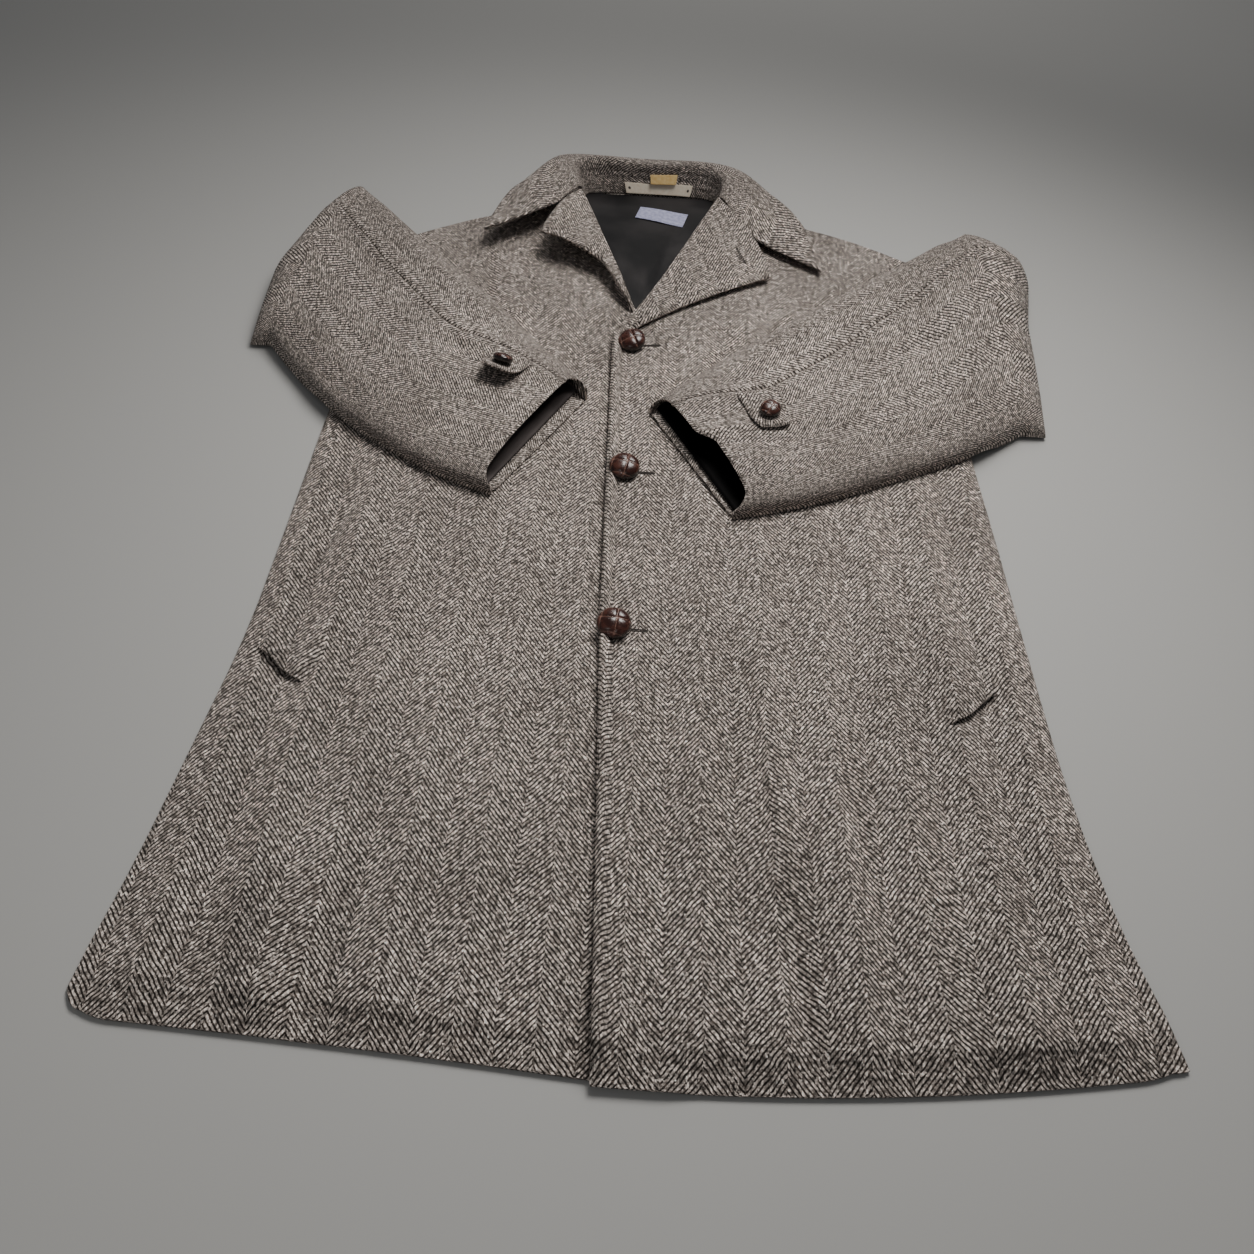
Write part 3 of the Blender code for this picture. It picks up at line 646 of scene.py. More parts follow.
def fold_rise(table, x, y):
    total = 0.0
    for foot_x, foot_y, head_x, head_y, half, rise in table:
        share = (y - foot_y) / (head_y - foot_y)
        if not 0.0 < share < 1.0:
            continue
        middle = lerp(foot_x, head_x, share)
        window = ease(share / FOLD_FOOT_SHARE) * ease((1.0 - share) / FOLD_HEAD_SHARE)
        total += rise * window * bell(x - middle, half)
    return total


def front_height(side, x, y):
    """Height of a front's outer face over a plan point, without its fine creases."""
    lie = UPPER_TOP if side > 0 else UNDER_TOP
    from_side = body_half(side, y) - side * x
    from_edge = side * (x - read(edge_rows(side), y))
    if side < 0:
        from_edge = min(from_edge, read(UPPER_EDGE, y) - x) - OVERLAP_EASE
    swell = SWELL * ease(from_side / SWELL_FROM_SIDE) * ease(from_edge / SWELL_FROM_EDGE)
    swell *= ease((SWELL_SHOULDER_Y - y) / SWELL_FROM_SHOULDER)
    early = UPPER_LIFT_LEAD if side > 0 else 0.0
    lift = NECK_LIFT * ease((y + early - NECK_LIFT_FROM) / NECK_LIFT_OVER)
    lift *= ease((NECK_LIFT_REACH - abs(x)) / NECK_LIFT_FADE)
    proud = 0.0
    if side > 0:
        proud = PROUD_EDGE * (1.0 - ease(from_edge / PROUD_EDGE_OVER))
        proud *= ease((PROUD_EDGE_END_Y - y) / PROUD_EDGE_FADE)
    return lie + proud + max(swell + lift + fold_rise(FOLDS, x, y), 0.0)


print("fronts lie %.1f and %.1f mm above the floor" % (UNDER_TOP, UPPER_TOP))

# %% Fine creases, turned edges and the two fronts
CREASES = (
    # x at foot, y at foot, x at head, y at head, half width, height
    (-168.0, 735.0, -187.0, 925.0, 6.0, -3.6),
    (-151.0, 735.0, -170.0, 925.0, 9.0, 1.6),
    (98.0, 140.0, 78.0, 345.0, 6.0, -3.2),
    (114.0, 110.0, 96.0, 330.0, 9.0, 1.8),
    (171.0, 105.0, 140.0, 305.0, 8.0, -2.6),
    (187.0, 100.0, 158.0, 290.0, 10.0, 1.4),
    (125.0, -40.0, 106.0, 125.0, 8.0, -2.8),
    (176.0, -40.0, 166.0, 120.0, 10.0, -1.8),
    (305.0, -20.0, 286.0, 170.0, 14.0, 1.8),
    (244.0, 60.0, 242.0, 290.0, 9.0, -2.2),
    (-60.0, 30.0, -62.0, 330.0, 12.0, -0.9),
    (-120.0, 120.0, -112.0, 420.0, 18.0, -1.0),
    (-172.0, 95.0, -153.0, 175.0, 8.0, -2.0),
    (-203.0, -40.0, -201.0, 110.0, 8.0, -2.8),
    (-199.0, 50.0, -196.0, 245.0, 9.0, -1.6),
    (-232.0, -40.0, -234.0, 150.0, 11.0, 2.2),
    (-257.0, -40.0, -259.0, 130.0, 8.0, -2.8),
    (-310.0, -20.0, -298.0, 160.0, 12.0, 2.0),
    (-303.0, 295.0, -240.0, 550.0, 4.5, -2.0),
    (-262.0, 265.0, -196.0, 475.0, 4.0, -1.4),
    (286.0, 290.0, 222.0, 500.0, 4.5, -1.8),
)
EDGE_STITCH = 10.5
EDGE_DEPTH = 2.4
HEM_STITCH = 15.0
HEM_GROOVE = -0.8
HEM_GROOVE_HALF = 5.0
POCKET_SLITS = {1: ((274.0, 310.0), (242.0, 285.0)), -1: ((-294.0, 318.0), (-262.0, 293.0))}
POCKET_HOLLOW = 2.6
POCKET_HOLLOW_HALF = 7.0
EDGE_STANDS = 4.4
EDGE_STANDS_OVER = 18.0
HEM_EDGE_LIFT = 7.0
HEM_EDGE_LIFT_OVER = (40.0, 160.0)
HEM_FOOT = WALL + 0.6
HEM_DROP_OVER = 27.0
HEM_OVERLAP_RISE = 2.4
OVERLAP_ENDS = 30.0
RIM_OVER = 2.6
RIDGE_HALF_SHARE = 0.36
GROOVE_HALF_SHARE = 0.17
GROOVE_DEPTH = 1.1
FRONT_RIPPLE = (0.7, 70.0)
FRONT_FINE_RIPPLE = (0.35, 28.0)
UNDER_STITCH_END_Y = 760.0
EDGE_CROWDING = 0.25


def turned_edge(distance, stitch):
    """Profile across a turned and stitched edge: rounded rim, thin ridge and sewn groove."""
    rim = ease(distance / RIM_OVER) - 1.0
    ridge = bell(distance - 0.5 * stitch, RIDGE_HALF_SHARE * stitch)
    groove = GROOVE_DEPTH * bell(distance - stitch, GROOVE_HALF_SHARE * stitch)
    return rim + ridge - groove


def front_plan(side, s, t):
    inner_y = lerp(edge_rows(side)[0][0], NECK_TOP_Y, t)
    outer_y = lerp(HEM_CORNER_Y[side], SHOULDER_Y, t)
    inner = (read(edge_rows(side), inner_y), inner_y)
    outer = (side * (body_half(side, outer_y) - SIDE_ROLL), outer_y)
    x, y = mix(inner, outer, s)
    bow = 4.0 * s * (1.0 - s)
    corner = max(s - HEM_CORNER_FROM, 0.0) / (1.0 - HEM_CORNER_FROM)
    y += bow * (SHOULDER_BULGE * t ** 8 - HEM_SAG[side] * (1.0 - t) ** 4)
    y += HEM_CORNER_RISE[side] * corner * corner * (1.0 - t) ** 12
    return x, y


def from_pocket(side, x, y):
    """Distance in plan from the slit at the foot of the pocket welt."""
    start, end = (Vector(corner) for corner in POCKET_SLITS[side])
    run = end - start
    share = min(max((Vector((x, y)) - start).dot(run) / run.length_squared, 0.0), 1.0)
    return (Vector((x, y)) - start - share * run).length


def front_surface(side, x, y):
    """Outer face with its fine creases."""
    z = front_height(side, x, y)
    z += fold_rise(CREASES, x, y) - POCKET_HOLLOW * bell(from_pocket(side, x, y), POCKET_HOLLOW_HALF)
    for (rise, wave), seed in ((FRONT_RIPPLE, 3.0 + side), (FRONT_FINE_RIPPLE, 9.0)):
        z += rise * ripple(x, y, wave, seed)
    if side > 0:
        from_edge = x - read(UPPER_EDGE, y)
        across, up = HEM_EDGE_LIFT_OVER
        z += HEM_EDGE_LIFT * (1.0 - ease(from_edge / across)) * (1.0 - ease(y / up))
        fade = ease((PROUD_EDGE_END_Y - y) / PROUD_EDGE_FADE)
        z += EDGE_STANDS * (1.0 - ease(from_edge / EDGE_STANDS_OVER)) * fade
    return z


def front_place(side, s, t):
    s = lerp(s, ease(s), EDGE_CROWDING)
    t = lerp(t, t * t, EDGE_CROWDING)
    flat = min(s / FRONT_FLAT_SHARE, 1.0)
    x, y = front_plan(side, flat, t)
    z = front_surface(side, x, y)
    if side > 0 or y < UNDER_STITCH_END_Y:
        z += EDGE_DEPTH * turned_edge(side * (x - read(edge_rows(side), y)), EDGE_STITCH)
    bottom = front_plan(side, flat, 0.0)[1]
    z += turned_edge(y - bottom, HEM_STITCH)
    z += HEM_GROOVE * bell(y - bottom - HEM_STITCH, HEM_GROOVE_HALF)
    foot = HEM_FOOT
    if side > 0:
        foot += HEM_OVERLAP_RISE * (1.0 - ease((x - UNDER_EDGE[0][1]) / OVERLAP_ENDS))
    z = lerp(foot, z, ease((y - bottom) / HEM_DROP_OVER))
    turn = max(s - FRONT_FLAT_SHARE, 0.0) / (1.0 - FRONT_FLAT_SHARE) * math.pi / 2
    x += side * SIDE_ROLL * math.sin(turn)
    y += HEM_ROLL_RISE[side] * math.sin(turn) ** 2 * (1.0 - t) ** 12
    z = SIDE_FOOT + (z - SIDE_FOOT) * math.cos(turn)
    return x, y, z


for name, side in SIDES.items():
    def lay(s, t, side=side):
        return front_place(side, outward(side, s), t)

    def grain(s, t, lay=lay, side=side):
        x, y, z = lay(s, t)
        return body_grain(side, x, y)

    lay_cloth("front_panel_" + name, "front_" + name, (130, 240), lay, grain, (415.0, 1020.0), "laid",
              ["back"])

# %% [markdown]
# ## Lapels and collar
#
# The fronts turn back into lapels at the roll line, and the collar stands at the neck, rolls over and
# falls to its leaf edge. All of it is doubled cloth with a turned edge. The viewer's left lapel lifts
# and waves, as the photograph shows; the other lies flatter.

# %% Lapels
LAPELS = {
    "left": {
        "roll": ((-37.0, 766.0, 14.5), (0.0, 842.0, 20.0), (62.8, 1007.0, 27.0)),
        "edge": ((-27.0, 757.0, 13.0), (32.0, 803.0, 18.5), (120.0, 858.0, 20.5)),
        "bow": 9.0,
        "wave": 0.8,
        "cut": (165.0, 250.0),
    },
    "right": {
        "roll": ((-24.0, 806.0, 10.5), (-40.0, 856.0, 21.0), (-89.8, 1007.0, 28.0)),
        "edge": ((-22.0, 796.0, 12.0), (-39.0, 822.0, 26.0), (-61.0, 860.0, 31.0), (-94.0, 880.0, 35.0),
                 (-127.8, 896.0, 38.0)),
        "bow": -7.0,
        "wave": 2.2,
        "cut": (100.0, 220.0),
    },
}
DOUBLED_WALL = 3.8
DOUBLED_EDGE = 0.45
LAPEL_RAISED = {"left": 1.4, "right": 0.0}
LAPEL_FOOT_MERGES = {"left": 0.16, "right": 0.08}
GORGE_TUCK = {"left": 0.0, "right": -4.0}
LAPEL_ROLL_RADIUS = 4.6
LAPEL_RADIUS_SHARE = 0.16
LAPEL_CURL_SHARE = 0.3
LAPEL_CURL_START = -0.35
LAPEL_CURL_GROWS = 0.5
LAPEL_BELLY = 1.5
LAPEL_STITCH = 8.0
LAPEL_LENGTH = 150.0
LAPEL_WAVES = 9.0
LAPEL_WAVE_START = 0.6
LAPEL_BIAS = (0.95, 0.3)
LAPEL_GRAIN_FOOT = 800.0


def lapel_point(name, s, t):
    table = LAPELS[name]
    roll = curved(table["roll"], t)
    edge = curved(table["edge"], t)
    span = math.hypot(edge[0] - roll[0], edge[1] - roll[1])
    radius = min(LAPEL_ROLL_RADIUS, span * LAPEL_RADIUS_SHARE)
    if s > LAPEL_CURL_SHARE:
        flat = (s - LAPEL_CURL_SHARE) / (1.0 - LAPEL_CURL_SHARE)
        reach = lerp(radius, span, flat)
        z = lerp(roll[2], edge[2], flat) + LAPEL_BELLY * math.sin(flat * math.pi)
        z += turned_edge(span - reach, LAPEL_STITCH) + turned_edge((1.0 - t) * LAPEL_LENGTH, LAPEL_STITCH)
        z += table["wave"] * flat * math.sin(LAPEL_WAVES * t + LAPEL_WAVE_START)
    else:
        curl = s / LAPEL_CURL_SHARE
        turn = lerp(LAPEL_CURL_START, 0.5, curl) * math.pi
        curled = (radius * (1.0 - math.cos(turn)), roll[2] - radius + radius * math.sin(turn))
        reach, z = mix((radius * curl, roll[2]), curled, ease(t / LAPEL_CURL_GROWS))
    share = reach / span
    x, y = mix(roll[:2], edge[:2], share)
    x += table["bow"] * 4.0 * share * (1.0 - share) * t ** 6
    x += GORGE_TUCK[name] * bell(share - 0.22, 0.2) * ease((t - 0.9) / 0.1)
    z += 0.4 * ripple(x, y, 30.0, 5.0) + LAPEL_RAISED[name] * ease(t / LAPEL_CURL_GROWS) * ease(s)
    return x, y, lerp(front_surface(SIDES[name], x, y) + 0.4, z, ease(t / LAPEL_FOOT_MERGES[name]))


lapels = {}
for name, side in SIDES.items():
    def lay(s, t, name=name, side=side):
        return lapel_point(name, outward(side, s), t)

    def grain(s, t, lay=lay, side=side):
        x, y, z = lay(s, t)
        straight, slant = LAPEL_BIAS
        return (MM * (x * straight + side * slant * (y - LAPEL_GRAIN_FOOT)),
                MM * (y * straight - side * slant * x))

    lapels[name] = lay_cloth("lapel_facing_" + name, "lapel_" + name, (56, 72), lay, grain,
                             LAPELS[name]["cut"], "laid", ["front_" + name], DOUBLED_WALL,
                             soft_edge=DOUBLED_EDGE)

# %% Collar
COLLAR = (
    # seam, roll, fall, leaf
    ((-88.0, 1019.0, 4.8), (-92.0, 1010.0, 30.0), (-116.7, 955.2, 36.0), (-189.5, 900.6, 34.0)),
    ((-90.0, 1028.0, 4.8), (-97.0, 1026.0, 37.0), (-136.5, 995.4, 40.0), (-185.2, 944.5, 27.0)),
    ((-84.0, 1036.0, 4.8), (-98.0, 1040.0, 42.0), (-128.0, 1044.0, 42.0), (-168.0, 1012.0, 20.0)),
    ((-58.0, 1042.0, 4.0), (-72.0, 1050.0, 44.5), (-104.0, 1077.0, 31.0), (-122.0, 1082.0, 7.0)),
    ((-15.0, 1044.0, 3.6), (-20.0, 1051.0, 39.0), (-20.0, 1083.0, 27.0), (-20.0, 1105.9, 3.4)),
    ((30.0, 1042.0, 4.0), (40.0, 1052.0, 42.0), (70.0, 1074.0, 30.0), (88.0, 1084.0, 7.0)),
    ((58.0, 1034.0, 4.8), (66.0, 1038.0, 38.0), (106.0, 1038.0, 31.0), (146.0, 1008.0, 14.0)),
    ((63.0, 1026.0, 4.8), (69.0, 1023.0, 33.0), (118.0, 985.0, 25.0), (172.0, 936.0, 15.0)),
    ((63.0, 1018.0, 4.8), (65.5, 1009.0, 28.0), (102.5, 931.0, 20.0), (175.0, 879.0, 19.0)),
)
STAND_SHARE = 0.36
FALL_SHARE = 0.7
ROLL_SOFTNESS = 0.07
COLLAR_LENGTH = 430.0
COLLAR_DEPTH = 125.0
COLLAR_STITCH = 8.0
STAND_ROWS = (0.45, 0.62)
STAND_ROW_DEPTH = 0.7
STAND_ROW_HALF = 0.016


def collar_point(s, t):
    lines = [curved([row[column] for row in COLLAR], s) for column in range(4)]
    stops = (0.0, STAND_SHARE, FALL_SHARE, 1.0)

    def straight(u):
        u = min(max(u, 0.0), 1.0)
        for i in range(3):
            if u <= stops[i + 1]:
                break
        return Vector(mix(lines[i], lines[i + 1], (u - stops[i]) / (stops[i + 1] - stops[i])))

    soft = min(ROLL_SOFTNESS, t, 1.0 - t)
    samples = [straight(t + soft * k / 3.0) for k in range(-3, 4)]
    return sum(samples, Vector()) / len(samples)


def collar_place(s, t):
    """The collar's face, with turned leaf edges and two rows of stitching on the stand."""
    point = collar_point(s, t)
    step = 0.004
    ahead = collar_point(min(s + step, 1.0), t) - collar_point(max(s - step, 0.0), t)
    up = collar_point(s, min(t + step, 1.0)) - collar_point(s, max(t - step, 0.0))
    out = ahead.cross(up).normalized()
    rise = turned_edge((1.0 - t) * COLLAR_DEPTH, COLLAR_STITCH)
    if t > STAND_SHARE:
        rise += turned_edge(min(s, 1.0 - s) * COLLAR_LENGTH, COLLAR_STITCH)
    for row in STAND_ROWS:
        rise -= STAND_ROW_DEPTH * bell(t - row * STAND_SHARE, STAND_ROW_HALF)
    rise += 0.7 * ripple(point.x, point.y, 45.0, 2.0)
    return tuple(point + out * rise)


def collar_grain(s, t):
    return (t * COLLAR_DEPTH) * MM, s * COLLAR_LENGTH * MM


lay_cloth("collar_cloth", "collar", (150, 64), collar_place, collar_grain, (470.0, 150.0), "folded", ["back"],
          DOUBLED_WALL, soft_edge=DOUBLED_EDGE)

# %% [markdown]
# ## Folded sleeves
#
# Each sleeve is a flattened tube that comes back over the chest from its outer fold. The over-arm seam
# parts its two pieces, and a third layer lies under them on the chest. Short creases cross the sleeve
# near the elbow and run along the seam.

# %% How the sleeves lie
SLEEVES = {
    "left": {
        "cuff_low": (74.0, 489.0),
        "cuff_top": (-2.0, 634.0),
        "elbow": (352.0, 640.0),
        "tip": (340.0, 974.0),
        "bow": 20.0,
    },
    "right": {
        "cuff_low": (-137.0, 506.0),
        "cuff_top": (-62.0, 654.0),
        "elbow": (-380.0, 714.0),
        "tip": (-338.0, 1000.0),
        "bow": 34.0,
    },
}
SLEEVE_HEIGHT = (
    # along, height
    (0.0, 27.0),
    (0.3, 30.0),
    (0.7, 33.0),
    (1.0, 36.0),
)
FOLD_REACH = {
    "left": ((0.0, 24.0), (0.5, 42.0), (0.78, 62.4), (0.9, 59.0), (1.0, 24.0)),
    "right": ((0.0, 20.0), (0.42, 41.0), (0.8, 30.0), (1.0, 14.0)),
}
OVERARM_SEAM = {
    # along, share
    "left": ((0.0, 0.14), (0.22, 0.39), (0.45, 0.37), (0.7, 0.3), (1.0, 0.15)),
    "right": ((0.0, 0.12), (0.2, 0.23), (0.41, 0.37), (0.7, 0.32), (1.0, 0.25)),
}
FOLD_SHARE = 0.16
SLEEVE_CLEARANCE = 0.6
BULGE_POWER = 0.55
BODY_SHELF = 16.0
FLOOR_FALL = 34.0
FOLD_FOOT = SIDE_FOOT + 0.3
MOUTH_SLANT = {"left": 0.042, "right": 0.04}
MOUTH_SLANT_END = 0.5
MOUTH_WAVE = {"left": (1.35, 0.6), "right": (1.0, 1.0)}
MOUTH_PLATEAU = 0.6
MOUTH_BLUNT = {"left": 0.0, "right": 0.27}
MOUTH_BLUNT_END = 0.25


def rest_height(side, x, y):
    half = body_half(side, y) - SIDE_ROLL
    past = side * x - half
    on_front = front_height(side, side * min(side * x, half), y)
    return lerp(on_front, SIDE_FOOT, ease((past - BODY_SHELF) / FLOOR_FALL))


def sleeve_edges(name, a):
    table = SLEEVES[name]
    low = mix(table["cuff_low"], table["elbow"], a)
    top = mix(table["cuff_top"], table["tip"], a)
    low = (low[0], low[1] - table["bow"] * 4.0 * a * (1.0 - a))
    return low, top


def sleeve_width(name, a):
    return math.dist(*sleeve_edges(name, min(a, 1.0)))


def across_share(turn):
    """Share of the sleeve's width that a turn round its tube has reached."""
    return (1.0 - math.cos(turn)) / 2.0


def sleeve_point(name, a, turn, inset=0.0, power=BULGE_POWER):
    side = SIDES[name]
    low, top = sleeve_edges(name, min(a, 1.0))
    width = sleeve_width(name, a)
    share = across_share(turn)
    share = lerp(inset / width, 1.0 - inset / width, share)
    x, y = mix(low, top, share)
    height = read(SLEEVE_HEIGHT, min(a, 1.0)) - 2.0 * inset
    base = rest_height(side, x, y) + SLEEVE_CLEARANCE + inset
    z = base + height * max(math.sin(turn), 0.0) ** power
    down = max(a - 1.0, 0.0) / FOLD_SHARE * math.pi / 2
    x += side * smooth_read(FOLD_REACH[name], share) * math.sin(down)
    z = lerp(FOLD_FOOT, z, math.cos(down))
    return x, y, z


def behind_mouth(name, a, turn):
    """The top of the mouth is cut back a little, so that the cuff shows its inside."""
    arch = ease(max(math.sin(turn), 0.0) / MOUTH_PLATEAU)
    share = across_share(turn)
    arch *= lerp(*MOUTH_WAVE[name], ease((share - 0.42) / 0.16))
    return a + MOUTH_SLANT[name] * arch * max(1.0 - a / MOUTH_SLANT_END, 0.0)


def seam_turn(name, a):
    share = 1.0 - smooth_read(OVERARM_SEAM[name], min(a, 1.0))
    return math.acos(1.0 - 2.0 * share)


def sleeve_sign(name, s):
    return outward(SIDES[name], s)


print("sleeve widths at the cuff: %.0f and %.0f mm" % tuple(sleeve_width(n, 0.0) for n in SIDES))

# %% Creases and the sleeve pieces
SLEEVE_CREASES = {
    # along at one end, share at it, along at the other end, share at it, half width in mm, height
    "left": (
        (0.12, 0.35, 0.5, 0.2, 9.0, -2.0),
        (0.68, 0.63, 1.02, 0.7, 6.0, -2.8),
        (0.5, 0.5, 0.95, 0.42, 14.0, -2.2),
        (0.42, 0.89, 0.8, 0.82, 9.0, -3.0),
        (0.4, 0.12, 0.8, 0.1, 10.0, -1.8),
    ),
    "right": (
        (0.28, 0.74, 0.9, 0.82, 6.0, -3.2),
        (0.29, 0.6, 0.4, 0.58, 7.0, -4.2),
        (0.24, 0.68, 0.47, 0.46, 8.0, -2.6),
        (0.5, 0.25, 0.9, 0.3, 12.0, -2.2),
        (0.12, 0.2, 0.45, 0.12, 9.0, -1.6),
        (0.6, 0.6, 0.98, 0.62, 12.0, -1.8),
    ),
}
SLEEVE_LENGTH = 400.0
SEAM_GAP = 0.25
UNDER_LAYER_END = 0.6
UNDER_INSET = 5.4
EDGE_LIFT = 0.8
EDGE_LIFT_SHARE = 0.25
SLEEVE_RIPPLE = 1.2
SLEEVE_FINE_RIPPLE = 0.5
SEAM_DEPTH = 1.3
SEAM_OVER = 2.2
SEAM_RIDGE = 0.7
SEAM_RIDGE_FROM = 4.5
SEAM_RIDGE_HALF = 3.0
CUFF_STITCH = 8.0
CREASE_END_SHARE = 0.3


def sleeve_creases(name, a, share):
    width = sleeve_width(name, a)
    total = 0.0
    for from_a, from_share, to_a, to_share, half, rise in SLEEVE_CREASES[name]:
        part_way = (a - from_a) / (to_a - from_a)
        if not 0.0 < part_way < 1.0:
            continue
        window = ease(part_way / CREASE_END_SHARE) * ease((1.0 - part_way) / CREASE_END_SHARE)
        middle = lerp(from_share, to_share, part_way)
        total += rise * window * bell((share - middle) * width, half)
    return total


def sleeve_surface(name, a, turn):
    share = across_share(turn)
    blunt = MOUTH_BLUNT[name] * ease((share - 0.5) / 0.3) * (1.0 - ease(a / MOUTH_BLUNT_END))
    x, y, z = sleeve_point(name, behind_mouth(name, a, turn), turn, power=BULGE_POWER - blunt)
    width = sleeve_width(name, a)
    over = max(math.sin(turn), 0.0) ** 0.5
    from_seam = abs(math.cos(seam_turn(name, a)) - math.cos(turn)) * width / 2.0
    waves = SLEEVE_RIPPLE * ripple(x, y, 60.0, 4.0) + SLEEVE_FINE_RIPPLE * ripple(x, y, 25.0, 6.0)
    z += over * (sleeve_creases(name, a, share) + waves)
    ridge = SEAM_RIDGE * bell(from_seam - SEAM_RIDGE_FROM, SEAM_RIDGE_HALF)
    z += over * (ridge - SEAM_DEPTH * (1.0 - ease(from_seam / SEAM_OVER)))
    z += turned_edge(a * SLEEVE_LENGTH, CUFF_STITCH) * over
    return x, y, max(z, FOLD_FOOT)


def seam_half(name, a):
    width = sleeve_width(name, a)
    return SEAM_GAP / (width * math.sin(seam_turn(name, a)) / 2.0)


for name in SIDES:
    def along_fold(s, name=name):
        return sleeve_sign(name, s) * (1.0 + FOLD_SHARE)

    def back_lay(s, t, name=name, along_fold=along_fold):
        a = along_fold(s)
        x, y, z = sleeve_surface(name, a, lerp(0.0, seam_turn(name, a) - seam_half(name, a), t))
        return x, y, z + EDGE_LIFT * max(1.0 - t / EDGE_LIFT_SHARE, 0.0)

    def front_lay(s, t, name=name, along_fold=along_fold):
        a = along_fold(s)
        x, y, z = sleeve_surface(name, a, lerp(seam_turn(name, a) + seam_half(name, a), math.pi, t))
        return x, y, z + EDGE_LIFT * max(1.0 - (1.0 - t) / EDGE_LIFT_SHARE, 0.0)

    def under_lay(s, t, name=name):
        a = UNDER_LAYER_END * sleeve_sign(name, s)
        low, top = sleeve_edges(name, a)
        inset = UNDER_INSET / math.dist(low, top)
        x, y = mix(low, top, lerp(inset, 1.0 - inset, t))
        return x, y, rest_height(SIDES[name], x, y) + SLEEVE_CLEARANCE + WALL

    def back_grain(s, t, along_fold=along_fold):
        return t * 0.2, along_fold(s) * SLEEVE_LENGTH * MM

    def front_grain(s, t, along_fold=along_fold):
        return 0.2 + t * 0.1, along_fold(s) * SLEEVE_LENGTH * MM

    def under_grain(s, t, name=name):
        return t * 0.17, sleeve_sign(name, s) * 0.24

    for layer, grid, lay, grain, cut in (
        ("back", (130, 96), back_lay, back_grain, (250.0, 480.0)),
        ("front", (130, 56), front_lay, front_grain, (150.0, 480.0)),
        ("under", (40, 30), under_lay, under_grain, (260.0, 300.0)),
    ):
        node = "sleeve_%s_%s" % (name, layer)
        lay_cloth(node + "_cloth", node, grid, lay, grain, cut, "folded", ["front_" + name])

# %% [markdown]
# ## Upper arms
#
# Between the armhole and the outer fold the sleeve lies doubled under itself, where almost nothing
# shows. One rounded pad of cloth stands for those layers, grooved round its edge like stacked folds.

# %% Upper arm pads
UPPER_ARM_FROM_ELBOW = 22.0
UPPER_ARM_FROM_TIP = 92.0
UPPER_ARM_FROM_BODY = 1.0
UPPER_ARM_FROM_FOLD = 12.0
UPPER_ARM_THICKNESS = 15.0
UPPER_ARM_THINNING = 0.45

for name, side in SIDES.items():
    table = SLEEVES[name]
    low_y = table["elbow"][1] + UPPER_ARM_FROM_ELBOW
    high_y = table["tip"][1] - UPPER_ARM_FROM_TIP
    bm = bmesh.new()
    bmesh.ops.create_cube(bm, size=1.0)
    bmesh.ops.subdivide_edges(bm, edges=bm.edges[:], cuts=23, use_grid_fill=True)
    for vert in bm.verts:
        u, v, w = (2.0 * value for value in vert.co)
        rim = max(abs(u), abs(v)) ** 12
        y = lerp(low_y, high_y, (v * (1.0 - 0.02 * rim * w * w) + 1.0) / 2.0)
        share = (y - table["elbow"][1]) / (table["tip"][1] - table["elbow"][1])
        inner = body_half(side, y) + UPPER_ARM_FROM_BODY
        fold_x = side * lerp(table["elbow"][0], table["tip"][0], share)
        outer = fold_x + smooth_read(FOLD_REACH[name], share) - UPPER_ARM_FROM_FOLD
        layers = 0.02 * rim * (math.cos(3.0 * math.pi * w) - 1.0)
        x = lerp(inner, outer, (u * (1.0 + layers) + 1.0) / 2.0)
        rounding = 1.0 - UPPER_ARM_THINNING * max(u, 0.0) ** 4
        z = SIDE_FOOT + UPPER_ARM_THICKNESS * rounding * (w + 1.0) / 2.0
        vert.co = to_world((side * x, y, z))
    map_cloth(bm, lambda x, y, z: (x + z, y))
    if side < 0:
        bmesh.ops.reverse_faces(bm, faces=bm.faces[:])
    pad = make_piece(bm, "upper_arm_" + name, TWEED, "sleeve_%s_upper_arm" % name)

# %% [markdown]
# ## Cuffs
#
# The cuff mouths are open. Their linings are darker copies of the neck satin, painted as shade: near black
# in the viewer's right cuff and a paler, shaded grey-brown facing in the viewer's left one. A short tab comes
# out of the over-arm seam and is buttoned down with a small leather button; the viewer's left tab has sprung
# up a little.

# %% Cuff linings and tabs
LINING_WALL = 1.0
LINING_INSET = 4.2
LINING_FROM = {"left": 0.015, "right": 0.032}
LINING_TO = 0.3
# Painted shade: each cuff lining takes a darkened copy of the satin.
LINING_FINISH = {"left": SHADED_CUFF_SATIN, "right": SHADED_CUFF_FACING}
LINING_POWER = 1.0
TAB_WIDTH = 0.105
TAB_START = {"left": 0.165, "right": 0.14}
TAB_LENGTH = {"left": 0.25, "right": 0.22}
TAB_LIFT = {"left": 0.8, "right": 15.0}
TAB_CLEARANCE = 0.6
TAB_FROM_SEAM = 0.02
TAB_ROUND_FROM = 0.6
TAB_ROUND_LENGTH = 0.49
TAB_END_WIDTH = 0.35
TAB_SIZE = (42.0, 55.0)
TAB_STITCH = 5.0


def tab_place(name, s, t):
    s = sleeve_sign(name, s)
    past = max(t - TAB_ROUND_FROM, 0.0) / TAB_ROUND_LENGTH
    narrow = lerp(TAB_END_WIDTH, 1.0, math.sqrt(1.0 - past * past))
    a = TAB_START[name] + TAB_WIDTH * (0.5 + (s - 0.5) * narrow)
    share = 1.0 - smooth_read(OVERARM_SEAM[name], a) - TAB_FROM_SEAM - TAB_LENGTH[name] * t
    x, y, z = sleeve_point(name, a, math.acos(1.0 - 2.0 * share))
    border = min(min(s, 1.0 - s) * TAB_SIZE[0] * narrow, (1.0 - t) * TAB_SIZE[1])
    return x, y, z + WALL + TAB_CLEARANCE + TAB_LIFT[name] * t * t + turned_edge(border, TAB_STITCH)


